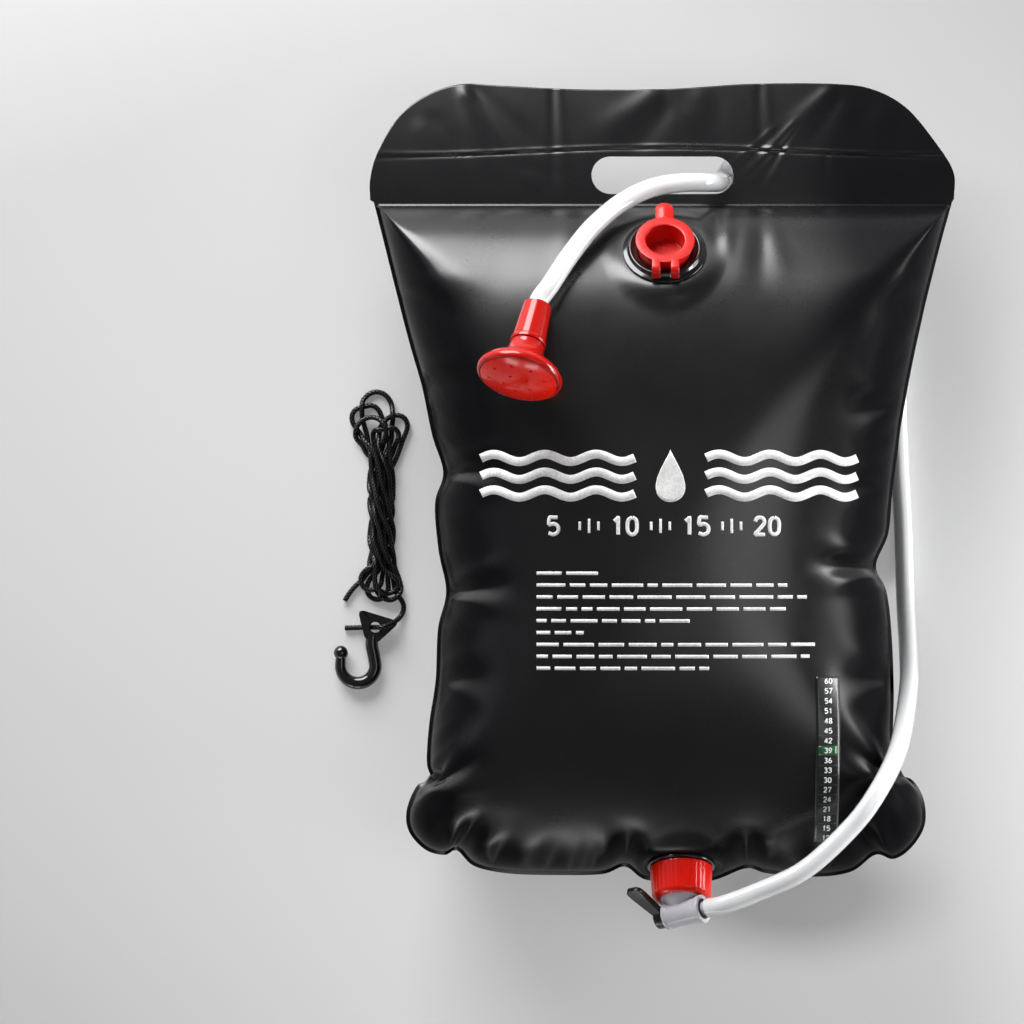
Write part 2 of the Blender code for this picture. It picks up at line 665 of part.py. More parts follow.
def make_gasket(seat, material):
    low = SPOUT_LENGTH + GAP
    outer = SPOUT_RADIUS - GAP
    shape = turned([(SPOUT_BORE_RADIUS, low), (outer, low), (outer, gasket_top()),
                    (SPOUT_BORE_RADIUS, gasket_top())], MEDIUM_STEPS)
    return add_piece("outlet_gasket", shape, material, seat)


def make_nut(seat, material):
    """A ribbed union nut: every other pair of corners on its outer wall stands out as a rib."""
    steps = 2 * NUT_RIBS
    bore = SPOUT_RADIUS + GAP
    top = NUT_START + NUT_LENGTH
    ledge = disc_top() + GAP
    end = NUT_RADIUS - NUT_TAPER
    shape = turned([
        (bore, NUT_START), (NUT_RADIUS, NUT_START), (end, top - NUT_LIP),
        (end - NUT_LIP / 2, top - NUT_LIP / 2),
        (end - NUT_LIP, top), (NUT_MOUTH_RADIUS, top), (NUT_MOUTH_RADIUS, ledge), (bore, ledge)], steps)
    turn = 2 * math.pi / steps
    for vert in shape.verts:
        away = math.hypot(vert.co.x, vert.co.y)
        step = round(math.atan2(vert.co.y, vert.co.x) / turn)
        if step % 2 and away > end - NUT_LIP / 4:
            grow = (away + NUT_RIB_HEIGHT) / away
            vert.co.x *= grow
            vert.co.y *= grow
    return add_piece("outlet_nut", shape, material, seat, smooth_angle=math.radians(12))


def barrel_height():
    """Barrel axis above the outlet flange: the barrel clears the nut's end."""
    return NUT_START + NUT_LENGTH + 2 * GAP + BARREL_RADIUS


def tap_frame():
    """The tap's own frame: Z along the barrel towards the hose, X towards the bag."""
    along = Vector((math.cos(BARREL_TURN), math.sin(BARREL_TURN), 0)) * BARREL_OFFSET
    place = Matrix.Translation(along + Vector((0, 0, barrel_height())))
    return place @ Matrix.Rotation(BARREL_TURN, 4, "Z") @ Matrix.Rotation(math.radians(90), 4, "Y")


def make_tap_body(seat, material):
    """A hollow neck held by the nut, with the barrel across its end."""
    base = gasket_top() + GAP
    neck = NUT_MOUTH_RADIUS - GAP
    top = NUT_START + NUT_LENGTH
    axis = barrel_height()
    wall = SOCKET_WALL
    shape = turned([
        (neck - wall, base), (SPOUT_RADIUS - GAP, base), (SPOUT_RADIUS - GAP, disc_top()), (neck, disc_top()),
        (neck, top), (BARREL_RADIUS, top + TAP_NECK_RISE), (BARREL_RADIUS / 2, axis), (0, axis),
        (0, top), (TAP_PORT_RADIUS, top), (neck - wall, disc_top())], MEDIUM_STEPS)
    body = add_piece("tap_body", shape, material, seat)
    half = BARREL_LENGTH / 2
    boolean(body, rod(BARREL_RADIUS, -half, half, MEDIUM_STEPS), "UNION", "barrel_join", tap_frame())
    bore = rod(BARREL_BORE_RADIUS, -half - CUT_OVERRUN, half + CUT_OVERRUN, MEDIUM_STEPS)
    boolean(body, bore, "DIFFERENCE", "barrel_bore_cut", tap_frame())
    boolean(body, rod(TAP_PORT_RADIUS, disc_top(), axis, PORT_STEPS), "DIFFERENCE", "inlet_port_cut",
            Matrix.Identity(4))
    return body


def make_tap_plug(axle, material):
    """The plug is hollow towards the hose; its side port faces away from the inlet while the tap is shut."""
    half = BARREL_LENGTH / 2
    radius = BARREL_BORE_RADIUS - PLUG_CLEARANCE / 2
    end = half - PLUG_LENGTH_FREE
    stem = LEVER_HUB_RADIUS / 2
    bore = radius - PLUG_WALL
    shape = turned([
        (0, -half - LEVER_HUB_THICKNESS / 2), (stem, -half - LEVER_HUB_THICKNESS / 2), (stem, -half),
        (radius, -half), (radius, end), (bore, end), (bore, -half / 2), (0, -half / 2)], SMALL_STEPS)
    plug = add_piece("tap_plug", shape, material, axle)
    port = rotate_shape(rod(TAP_PORT_RADIUS, 0, BARREL_RADIUS, PORT_STEPS), math.radians(90), "X")
    boolean(plug, port, "DIFFERENCE", "plug_port_cut")
    return plug


def lever_outline():
    """Blade of the lever in the plane of its axle: it widens to the tip and leans outward."""
    start = LEVER_HUB_RADIUS / 2
    root, tip, chamfer = LEVER_ROOT_WIDTH / 2, LEVER_TIP_WIDTH / 2, LEVER_TIP_WIDTH / 5
    lean = math.tan(LEVER_SPLAY)
    points = [(start, -root), (LEVER_LENGTH - chamfer, -tip), (LEVER_LENGTH, -tip + chamfer),
              (LEVER_LENGTH, tip - chamfer), (LEVER_LENGTH - chamfer, tip), (start, root)]
    return [(y, z - (y - start) * lean) for y, z in points]


def make_lever(axle, material):
    half = BARREL_LENGTH / 2
    near = -half - GAP
    far = near - LEVER_HUB_THICKNESS
    stem = LEVER_HUB_RADIUS / 2 + GAP
    depth = -half - LEVER_HUB_THICKNESS / 2 - GAP
    shape = turned([
        (0, far), (LEVER_HUB_RADIUS - RIDGE_ROUND, far), (LEVER_HUB_RADIUS, far + RIDGE_ROUND),
        (LEVER_HUB_RADIUS, near), (stem, near), (stem, depth), (0, depth)], SMALL_STEPS)
    lever = add_piece("tap_lever", shape, material, axle)
    lever.rotation_euler.z = -LEVER_REST
    middle = (near + far) / 2
    outline = [(y, z + middle) for y, z in lever_outline()]
    blade = side_prism(outline, -LEVER_THICKNESS / 2, LEVER_THICKNESS / 2)
    boolean(lever, blade, "UNION", "blade_join")
    socket = rod(stem, depth, near + CUT_OVERRUN, SMALL_STEPS)
    boolean(lever, socket, "DIFFERENCE", "lever_socket_cut")
    return lever


def make_hose_tail(axle, material):
    """The spigot: its inner flange sits behind the seal, its end carries the hose."""
    half = BARREL_LENGTH / 2
    tail = HOSE_BORE_RADIUS
    seal_low = half - SEAL_THICKNESS
    inner = BARREL_BORE_RADIUS - GAP
    back = half - PLUG_LENGTH_FREE + GAP
    shape = turned([
        (tail - TAIL_WALL, back), (inner, back), (inner, seal_low - GAP), (tail, seal_low - GAP),
        (tail, half + TAIL_LENGTH), (tail - TAIL_WALL, half + TAIL_LENGTH)], SMALL_STEPS)
    return add_piece("hose_tail", shape, material, axle)


def make_tap_seal(axle, material):
    half = BARREL_LENGTH / 2
    low = half - SEAL_THICKNESS
    inner, outer = HOSE_BORE_RADIUS + GAP, BARREL_BORE_RADIUS - GAP
    shape = turned([(inner, low), (outer, low), (outer, half), (inner, half)], SMALL_STEPS)
    return add_piece("tap_seal", shape, material, axle)


def make_outlet(materials):
    seat = place_empty("outlet_seat", outlet_frame())
    make_outlet_flange(seat, materials["black plastic"])
    make_gasket(seat, materials["black rubber"])
    make_nut(seat, materials["red plastic"])
    make_tap_body(seat, materials["milky plastic"])
    axle = place_empty("tap_axis", tap_frame())
    axle.parent = seat
    make_tap_plug(axle, materials["black plastic"])
    make_lever(axle, materials["black plastic"])
    make_hose_tail(axle, materials["milky plastic"])
    make_tap_seal(axle, materials["black rubber"])


def rose_frame():
    """The rose's frame: Z along it from the hose to the spray face."""
    turn = Matrix.Rotation(ROSE_AZIMUTH, 4, "Z") @ Matrix.Rotation(math.radians(90) - ROSE_LEAN, 4, "Y")
    place = Vector((ROSE_INSET - BAG_WIDTH / 2, POUCH_HEIGHT / 2 - ROSE_BELOW_TOP,
                    SEAM_HEIGHT + ROSE_ABOVE_SEAM))
    return Matrix.Translation(place) @ turn


def make_rose_socket(seat, material):
    """The collar: a deep hole for the hose, a waterway, and a grooved tail that turns in the bell."""
    hole = HOSE_RADIUS + GAP
    water = HOSE_BORE_RADIUS
    end = SOCKET_LENGTH
    groove = end + SOCKET_TAIL_LENGTH / 2
    half = SEAL_RING_RADIUS + GAP
    bottom = SOCKET_TAIL_RADIUS - SEAL_RING_RADIUS - GAP
    shape = turned([
        (hole, 0), (SOCKET_TOP_RADIUS - RIDGE_ROUND, 0), (SOCKET_TOP_RADIUS, RIDGE_ROUND),
        (SOCKET_END_RADIUS - RIM_OVERHANG / 2, end - SOCKET_LIP), (SOCKET_END_RADIUS, end - SOCKET_LIP),
        (SOCKET_END_RADIUS, end), (SOCKET_TAIL_RADIUS, end), (SOCKET_TAIL_RADIUS, groove - half),
        (bottom, groove - half), (bottom, groove + half), (SOCKET_TAIL_RADIUS, groove + half),
        (SOCKET_TAIL_RADIUS, end + SOCKET_TAIL_LENGTH), (water, end + SOCKET_TAIL_LENGTH),
        (water, SOCKET_HOLE_DEPTH), (hole, SOCKET_HOLE_DEPTH)], MEDIUM_STEPS)
    return add_piece("rose_socket", shape, material, seat)


def make_rose_seal(seat, material):
    middle = SOCKET_LENGTH + SOCKET_TAIL_LENGTH / 2
    centre = SOCKET_TAIL_RADIUS - SEAL_RING_RADIUS / 2
    turns = [2 * math.pi * i / ARC_STEPS for i in range(ARC_STEPS)]
    ring = [(centre + SEAL_RING_RADIUS / 2 * math.cos(t), middle + SEAL_RING_RADIUS * math.sin(t))
            for t in turns]
    return add_piece("rose_seal", turned(ring, SMALL_STEPS), material, seat)


def make_rose_body(seat, material):
    """The bell: a neck over the socket's tail, a cone, and a round shoulder that holds the face."""
    start = SOCKET_LENGTH + GAP
    bore = SOCKET_TAIL_RADIUS + GAP
    cone = start + BELL_CONE_LENGTH
    end = start + BELL_LENGTH
    neck_end = SOCKET_LENGTH + SOCKET_TAIL_LENGTH + GAP
    swell = (BELL_RADIUS - BELL_CONE_RADIUS)
    lip = FACE_RADIUS + GAP
    seat_depth = FACE_THICKNESS + GAP
    shoulder = end - BELL_RIM
    outer = [(BELL_NECK_RADIUS, start), (BELL_NECK_RADIUS, start + BELL_CONE_LENGTH / 4),
             (BELL_CONE_RADIUS - swell / 3, cone - BELL_CONE_LENGTH / 4), (BELL_CONE_RADIUS, cone),
             *[(BELL_CONE_RADIUS + swell * out, cone + (shoulder - cone) * up)
               for out, up in BELL_SWELL_SHARES],
             (BELL_RADIUS, shoulder),
             (BELL_RADIUS - RIDGE_ROUND, end - BELL_RIM / 3), (BELL_RADIUS - BELL_RIM / 2, end)]
    inner = [(lip, end), (lip, end - seat_depth), (lip - BELL_WALL, end - seat_depth),
             (BELL_CONE_RADIUS + swell * BELL_INNER_SWELL_SHARE, cone + BELL_WALL),
             (BELL_CONE_RADIUS - BELL_WALL, cone),
             (bore, neck_end + BELL_WALL), (bore, start)]
    return add_piece("rose_body", turned(outer + inner, LARGE_STEPS), material, seat)


def make_rose_face(seat, material):
    """A shallow domed plate with rings of spray holes."""
    end = SOCKET_LENGTH + GAP + BELL_LENGTH
    low = end - FACE_THICKNESS
    under, top = [], []
    for i in range(FACE_RINGS + 1):
        share = 1 - i / FACE_RINGS
        rise = FACE_DOME * (1 - share ** 2)
        under.append((FACE_RADIUS * share, low + rise))
        top.append((FACE_RADIUS * share, end + rise))
    face = add_piece("rose_face", turned(top + under[::-1], LARGE_STEPS), material, seat)
    cutters = bmesh.new()
    for share, count in SPRAY_RINGS:
        for i in range(count):
            turn = 2 * math.pi * i / count
            x, y = FACE_RADIUS * share * math.cos(turn), FACE_RADIUS * share * math.sin(turn)
            place = Matrix.Translation((x, y, end + FACE_DOME / 2))
            bmesh.ops.create_cone(cutters, cap_ends=True, segments=SPRAY_HOLE_STEPS, depth=3 * FACE_DOME,
                                  radius1=SPRAY_HOLE_RADIUS, radius2=SPRAY_HOLE_RADIUS, matrix=place)
    boolean(face, cutters, "DIFFERENCE", "spray_holes_cut")
    return face


def make_rose(materials):
    seat = place_empty("rose_seat", rose_frame())
    make_rose_socket(seat, materials["red plastic"])
    make_rose_seal(seat, materials["black rubber"])
    make_rose_body(seat, materials["red plastic"])
    make_rose_face(seat, materials["red plastic"])


# The hose's way in millimetres: over the bag's lower right corner, down to the ground beside the
# bag, under the handle flap and up through the right end of the slot, then over the bag's front.
HOSE_ROUTE_MM = (
    (66, -250.5, 139.5), (98, -235, 146), (129, -207, 148), (148.5, -182, 147), (166, -149.5, 128),
    (176, -110, 88), (178.5, -82, 52), (179, -56, 23), (179, -32, 9.5), (178, 8.6, 7.4), (175.5, 52, 7.4),
    (174, 98, 7.4), (175, 140, 7.4), (172, 185, 7.4), (156, 236, 7.4), (123, 272, 8), (84, 283, 13),
    (55, 272, 30), (44.5, 258.5, 55), (41, 255, 76), (32, 254, 94), (12, 253, 106), (-10, 248.5, 112),
    (-30.5, 237.5, 122), (-51, 219.5, 139), (-68, 198, 152.5), (-81, 178, 161.5),
)


def hose_points():
    start_frame = outlet_frame() @ tap_frame()
    start_height = BARREL_LENGTH / 2 + TAIL_LENGTH + GAP
    start = [start_frame @ Vector((0, 0, start_height + out)) for out in (0, 2 * HOSE_RADIUS)]
    depth = SOCKET_HOLE_DEPTH - GAP
    end = [rose_frame() @ Vector((0, 0, -HOSE_RADIUS / 2)), rose_frame() @ Vector((0, 0, depth))]
    way = [Vector(point) * MM for point in HOSE_ROUTE_MM]
    middle = smooth_route([start[1]] + way + [end[0]], HOSE_POINT_SPACING)
    return [start[0]] + list(middle) + [end[1]]


def make_hose(materials):
    return add_tube("hose", hose_points(), HOSE_RADIUS, 2, materials["clear hose"])


def inner_loop(angle):
    """A point of the innermost loop, drawn in at its waist and flared at its two ends."""
    along, across = math.sin(angle), math.cos(angle)
    flare = HANK_TOP_FLARE if along > 0 else HANK_FOOT_FLARE
    blend = smooth_share((abs(along) - WAIST_SHARE) / (1 - WAIST_SHARE))
    half = INNER_RING_SHARE * CORD_PITCH + flare * blend
    reach = HANK_LENGTH / 2 - CORD_RADIUS - HANK_LOOPS / 2 * CORD_PITCH
    return Vector((half * math.copysign(abs(across) ** LEG_STRAIGHT_SHARE, across), reach * along, 0))


def hank_points():
    """One cord wound flat: the loops spiral in on the ground, climb once, and spiral out on top.

    t counts turns. Each ring of the spiral is the innermost loop moved out along its own normal, so
    neighbouring loops stay one pitch apart all the way round.
    """
    turns = HANK_LOOPS - HANK_OPEN_SHARE
    count = round(turns * HANK_POINTS_PER_LOOP)
    centre = Vector((HANK_INSET - BAG_WIDTH / 2, HANK_Y, 0))
    points = []
    for i in range(count + 1):
        t = turns * i / count
        angle = math.pi - 2 * math.pi * t
        ahead = inner_loop(angle - LOOP_SLOPE_STEP) - inner_loop(angle + LOOP_SLOPE_STEP)
        outward = Vector((-ahead.y, ahead.x, 0)).normalized()
        ring = abs(HANK_LOOPS / 2 - t)
        climb = smooth_share((t - HANK_LOOPS / 2) / CLIMB_SHARE + MIDDLE_SHARE)
        height = Vector((0, 0, CORD_RADIUS + GAP + CORD_PITCH * climb))
        points.append(centre + inner_loop(angle) + outward * ring * CORD_PITCH + height)
    return points


def smooth_share(share):
    """Smoothstep of a share held between nought and one."""
    share = min(1, max(0, share))
    return share * share * (3 - 2 * share)

# The hank's two loose ends in millimetres: the first lies by the loops' foot, the last bulges out at the
# lower right, crosses over the hook's head, drops through its eye and comes out under it.
FIRST_END_MM = ((-233.5, -46, 2.2), (-231, -37, 2.2), (-227.6, -25, 2.2), (-223.4, -10, 2.2), (-220, 8, 2.2))
LAST_END_MM = (
    (-191.6, -20, 6.7), (-187.8, -33, 6.7), (-186.2, -46, 6.7), (-188.8, -56, 8.6), (-194.5, -60.8, 11.6),
    (-200.5, -64.4, 12.6), (-205, -66, 11.0), (-207.2, -66.3, 8.7), (-208.0, -66.3, 6.9),
    (-208.8, -66.3, 5.0),
    (-211.0, -66.3, 2.7), (-215.5, -66.4, 2.2), (-222, -66.7, 2.2), (-230.5, -66.9, 2.2),
)


def least_gap(points, radius):
    """Least clear distance between stretches of one cord that aren't neighbours along it."""
    points = np.array([tuple(p) for p in points])
    fine = smooth_route(points, radius)
    run = np.concatenate([[0], np.cumsum(np.linalg.norm(np.diff(fine, axis=0), axis=1))])
    apart = np.linalg.norm(fine[:, None] - fine[None], axis=2)
    near = np.abs(run[:, None] - run[None]) < NEIGHBOUR_SHARE * radius
    apart[near] = np.inf
    return apart.min() - 2 * radius


def make_hanging_cord(materials):
    first = [Vector(point) * MM for point in FIRST_END_MM]
    last = [Vector(point) * MM for point in LAST_END_MM]
    points = first + hank_points()[1:] + last
    length = sum((b - a).length for a, b in zip(points, points[1:]))
    print(f"hanging cord: {length:.3f} m, least gap to itself {least_gap(points, CORD_RADIUS) / MM:.2f} mm")
    return add_tube("hanging_cord", points, CORD_RADIUS, 1, materials["black cord"])


def swept_rod(path, radii, sides):
    """A bar of changing radius along a flat path of (x, y) points, with closed ends."""
    shape = bmesh.new()
    path = np.array(path)
    ahead = np.gradient(path, axis=0)
    ahead /= np.linalg.norm(ahead, axis=1)[:, None]
    rings = []
    for (x, y), (dx, dy), radius in zip(path, ahead, radii):
        turns = [2 * math.pi * i / sides for i in range(sides)]
        rings.append([shape.verts.new((x - dy * radius * math.cos(t), y + dx * radius * math.cos(t),
                                       radius * math.sin(t))) for t in turns])
    for a, b in zip(rings, rings[1:]):
        for i in range(sides):
            j = (i + 1) % sides
            shape.faces.new((a[i], a[j], b[j], b[i]))
    shape.faces.new(rings[0][::-1])
    shape.faces.new(rings[-1])
    bmesh.ops.recalc_face_normals(shape, faces=shape.faces)
    return shape


def hook_path():
    """Middle line of the hook's bar: down the shank, round the bend and up to the tip."""
    bend_x, bend_y = -HOOK_BEND_RADIUS, -HOOK_SHANK_LENGTH
    shank = [(-HOOK_ROD_RADIUS * aside, bend_y * down) for aside, down in SHANK_BEND_SHARES]
    turns = [math.pi * i / BEND_STEPS for i in range(BEND_STEPS + 1)]
    bend = [(bend_x + HOOK_BEND_RADIUS * math.cos(t), bend_y - HOOK_BEND_RADIUS * math.sin(t)) for t in turns]
    tip = (bend_x - HOOK_BEND_RADIUS * TIP_LEAN_SHARE, bend_y + HOOK_TIP_RISE)
    return shank + bend + [tip]


def head_outline():
    """The eye head seen flat: a triangle standing on the shank, its corners cut round."""
    neck = HOOK_ROD_RADIUS
    top, foot = HOOK_HEAD_SIDE * HEAD_TOP_SHARE, HOOK_HEAD_SIDE * HEAD_FOOT_SHARE
    wide, corner = HOOK_HEAD_SIDE * HEAD_WIDE_SHARE, HOOK_HEAD_SIDE * HEAD_CORNER_SHARE
    cut = neck * HEAD_ROUND_SHARE
    right = [(corner, top + cut), (wide, top), (wide - cut / 2, top - cut), (neck, -foot)]
    corners = right + [(-x, y) for x, y in right[::-1]]
    cos, sin = math.cos(HOOK_TURN), math.sin(HOOK_TURN)
    return [(x * cos - y * sin, x * sin + y * cos) for x, y in corners]


def make_hook(materials):
    """Moulded hook: bar, ball tip and a flat eye head raised clear of the cord under it."""
    path = hook_path()
    taper = list(np.linspace(HOOK_ROD_RADIUS, HOOK_TIP_RADIUS, TAPER_STEPS))
    radii = [HOOK_ROD_RADIUS] * (len(path) - TAPER_STEPS) + taper
    centre = HOOK_ROD_RADIUS + GAP / 3
    location = Vector((HOOK_INSET - BAG_WIDTH / 2, HOOK_Y, centre))
    hook = add_piece("hook", swept_rod(path, radii, HOOK_SIDES), materials["black plastic"], None, location)
    ball = bmesh.new()
    bmesh.ops.create_icosphere(ball, subdivisions=2, radius=HOOK_BALL_RADIUS,
                               matrix=Matrix.Translation((*path[-1], HOOK_BALL_RADIUS - HOOK_ROD_RADIUS)))
    boolean(hook, ball, "UNION", "ball_join")
    low = 2 * CORD_RADIUS + 3 * GAP - centre
    head = prism(head_outline(), low, low + HOOK_HEAD_THICKNESS)
    boolean(hook, head, "UNION", "head_join")
    eye = rod(HOOK_EYE_RADIUS, low - CUT_OVERRUN, low + HOOK_HEAD_THICKNESS + CUT_OVERRUN, EYE_STEPS)
    boolean(hook, eye, "DIFFERENCE", "eye_cut")
    return hook


def make_strip(front, material):
    """The temperature strip: a thin film laid on the filled front sheet, row by row."""
    bpy.context.view_layer.update()
    evaluated = front.evaluated_get(bpy.context.evaluated_depsgraph_get())
    columns, rows = STRIP_GRID_COLUMNS, round(STRIP_LENGTH / STRIP_ROW)
    middle_x = BAG_WIDTH / 2 - STRIP_INSET
    middle_y = STRIP_ABOVE_FOOT - POUCH_HEIGHT / 2
    shape = bmesh.new()
    grid = []
    for row in range(rows + 1):
        line = []
        for column in range(columns + 1):
            x = middle_x + STRIP_WIDTH * (column / columns - MIDDLE_SHARE)
            y = middle_y + STRIP_LENGTH * (row / rows - MIDDLE_SHARE)
            top = SEAM_HEIGHT + 2 * FRONT_BULGE
            found, place, normal, _ = evaluated.ray_cast(Vector((x, y, top)), Vector((0, 0, -1)))
            low = place + normal * 2 * GAP
            line.append((shape.verts.new(low), shape.verts.new(low + normal * STRIP_THICKNESS)))
        grid.append(line)
    for a, b in zip(grid, grid[1:]):
        for i in range(columns):
            shape.faces.new((a[i][1], a[i + 1][1], b[i + 1][1], b[i][1]))
            shape.faces.new((a[i][0], b[i][0], b[i + 1][0], a[i + 1][0]))
    left, right = [line[0] for line in grid], [line[-1] for line in grid[-2::-1]]
    border = left + grid[-1][1:] + right + grid[0][-2:0:-1]
    for a, b in zip(border, border[1:] + border[:1]):
        shape.faces.new((a[0], a[1], b[1], b[0]))
    bmesh.ops.triangulate(shape, faces=shape.faces)
    bmesh.ops.recalc_face_normals(shape, faces=shape.faces)
    return add_piece("thermometer_strip", shape, material)


def main():
    clear_scene()
    materials = {
        "sheet": make_material("black PVC sheet", (0.016, 0.016, 0.018), 0.38),
        "black plastic": make_material("black moulded plastic", (0.015, 0.015, 0.016), 0.25),
        "red plastic": make_material("red moulded plastic", (0.62, 0.012, 0.008), 0.3),
        "milky plastic": make_material("milky moulded plastic", (0.78, 0.78, 0.82), 0.3),
        "black rubber": make_material("black rubber", (0.02, 0.02, 0.02), 0.6),
        "black cord": make_material("black braided cord", (0.012, 0.012, 0.012), 0.8),
        "strip film": make_material("dark strip film", (0.02, 0.022, 0.022), 0.3),
        "clear hose": make_material("clear PVC hose", (0.8, 0.8, 0.8), 0.2),
    }
    front, _ = make_bag(materials)
    make_strip(front, materials["strip film"])
    make_filler(materials)
    make_outlet(materials)
    make_rose(materials)
    make_hose(materials)
    make_hanging_cord(materials)
    make_hook(materials)


main()
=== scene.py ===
"""Camp shower bag: a filled black bag on its back, with its filler, tap, hose, rose, cord and hook.

X runs across the bag, Y up to its handle and Z off the ground. All sizes are in metres.
"""

import bmesh
import bpy
import numpy as np
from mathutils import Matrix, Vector


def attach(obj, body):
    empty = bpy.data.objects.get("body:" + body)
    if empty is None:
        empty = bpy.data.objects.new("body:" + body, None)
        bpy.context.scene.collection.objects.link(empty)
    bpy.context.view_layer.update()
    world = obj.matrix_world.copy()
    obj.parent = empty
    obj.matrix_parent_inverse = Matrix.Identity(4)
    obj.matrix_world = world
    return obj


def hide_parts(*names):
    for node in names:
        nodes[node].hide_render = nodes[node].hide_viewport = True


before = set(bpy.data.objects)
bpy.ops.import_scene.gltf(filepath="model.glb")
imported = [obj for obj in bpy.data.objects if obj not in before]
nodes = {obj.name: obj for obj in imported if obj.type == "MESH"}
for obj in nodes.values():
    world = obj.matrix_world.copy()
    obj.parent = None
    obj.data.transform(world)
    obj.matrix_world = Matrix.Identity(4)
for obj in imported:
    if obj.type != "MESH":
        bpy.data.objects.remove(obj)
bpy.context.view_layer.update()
scene = bpy.context.scene
MM = 0.001

# The studio: a camera straight above on a long lens, a pale floor, and soft boxes that leave the
# middle of the black bag dark and draw broad hazy lights down its shoulders.
PICTURE_WIDTH = 735.2 * MM
CAMERA_HEIGHT = 4.08
SUBJECT_HEIGHT = 80 * MM
PICTURE_MIDDLE = (-108.1 * MM, 18.0 * MM)
SENSOR_MM = 36.0

camera_data = bpy.data.cameras.new("camera")
camera_data.sensor_width = SENSOR_MM
camera_data.lens = SENSOR_MM * (CAMERA_HEIGHT - SUBJECT_HEIGHT) / PICTURE_WIDTH
camera_data.clip_end = 30.0
camera = bpy.data.objects.new("camera", camera_data)
camera.location = (*PICTURE_MIDDLE, CAMERA_HEIGHT)
scene.collection.objects.link(camera)
scene.camera = camera
scene.view_settings.view_transform = "Standard"


def soft_box(name, place, aim, size, watts):
    """A rectangular soft box: its face looks from place towards aim."""
    lamp = bpy.data.lights.new(name, "AREA")
    lamp.shape = "RECTANGLE"
    lamp.size, lamp.size_y = size
    lamp.energy = watts
    box = bpy.data.objects.new(name, lamp)
    box.location = place
    way = Vector([a - p for a, p in zip(aim, place)])
    box.rotation_euler = way.to_track_quat("-Z", "Y").to_euler()
    scene.collection.objects.link(box)


# The low key box draws the haze on the upper shoulder, the two windows show in the rose's face, and
# the side box lights the hose beside the bag. Top and front box only fill.
soft_box("key_box", (-0.76, 1.61, 0.80), (-0.05, 0.1, 0.1), (1.5, 1.1), 66.0)
soft_box("top_box", (0.95, -0.3, 2.3), (0.05, 0.0, 0.1), (1.0, 1.3), 6.5)
soft_box("front_box", (-0.4, -1.9, 0.35), (-0.05, -0.1, 0.1), (1.5, 0.6), 1.5)
soft_box("left_window", (-0.95, -1.80, 0.42), (-0.1, 0.1, 0.2), (0.42, 0.3), 2.4)
soft_box("right_window", (-0.32, -1.95, 0.42), (-0.1, 0.1, 0.2), (0.42, 0.3), 2.4)
soft_box("side_box", (1.3, -0.05, 0.30), (0.17, -0.05, 0.02), (1.3, 0.3), 24.0)

world = bpy.data.worlds.new("studio_air")
world.use_nodes = True
scene.world = world
air = world.node_tree
air.nodes.clear()


def feed(socket, value):
    """Sets a socket to a value, or joins it to an output, or to a node's first output in use."""
    if isinstance(value, bpy.types.Node):
        value = next(output for output in value.outputs if output.enabled)
    if isinstance(value, bpy.types.NodeSocket):
        socket.id_data.links.new(value, socket)
    else:
        socket.default_value = value


def add_node(tree, kind, *feeds, **values):
    """A node of that kind. values set its properties or feed its sockets by name, an underscore for
    a space, and feeds go into its sockets in order."""
    node = tree.nodes.new("ShaderNode" + kind)
    for key, value in values.items():
        if hasattr(node, key):
            setattr(node, key, value)
        else:
            feed(node.inputs[key.replace("_", " ")], value)
    for socket, value in zip(node.inputs, feeds):
        feed(socket, value)
    return node


def eased(tree, value, low, high, start, end):
    """A node that goes from start to end as the value goes from low to high, without corners."""
    return add_node(tree, "MapRange", interpolation_type="SMOOTHSTEP", Value=value, From_Min=low,
                    From_Max=high, To_Min=start, To_Max=end)


def new_material(name, colour, roughness):
    """A material with one Principled shader: its tree, its shader's sockets, and those two values."""
    material = bpy.data.materials.new(name)
    material.use_nodes = True
    skin = material.node_tree.nodes["Principled BSDF"].inputs
    feed(skin["Base Color"], (*colour, 1))
    feed(skin["Roughness"], roughness)
    return material, material.node_tree, skin


air_place = add_node(air, "SeparateXYZ", add_node(air, "TexCoord").outputs["Generated"])
air_fade = eased(air, air_place.outputs["Z"], 0.05, 0.55, 0.80, 0.12)
air_side = eased(air, air_place.outputs["X"], -0.1, 0.6, 1.0, 0.5)
air_level = add_node(air, "Math", air_fade, air_side, operation="MULTIPLY")
air_shader = add_node(air, "Background", Color=(0.93, 0.94, 0.96, 1), Strength=air_level)
add_node(air, "OutputWorld", Surface=air_shader)


# The floor: pale paint with painted shade that darkens its far right corner, and a painted glow that shows
# it a little brighter than it is lit: the glow slopes off to the right and the front, less four round
# painted shadows.
FLOOR_HALF = 6
FLOOR_SLOPE = (0.40, -0.22, 0)
FLOOR_BOW = (0, -0.93, 0)
FLOOR_GLOW = 0.42
GLOW_STARTS = -0.295
PAINTED_SHADE_WAY = (0.6, 0.8, 0)
FLOOR_SHADE, CORNER_PAINTED_SHADE = 0.565, 0.42
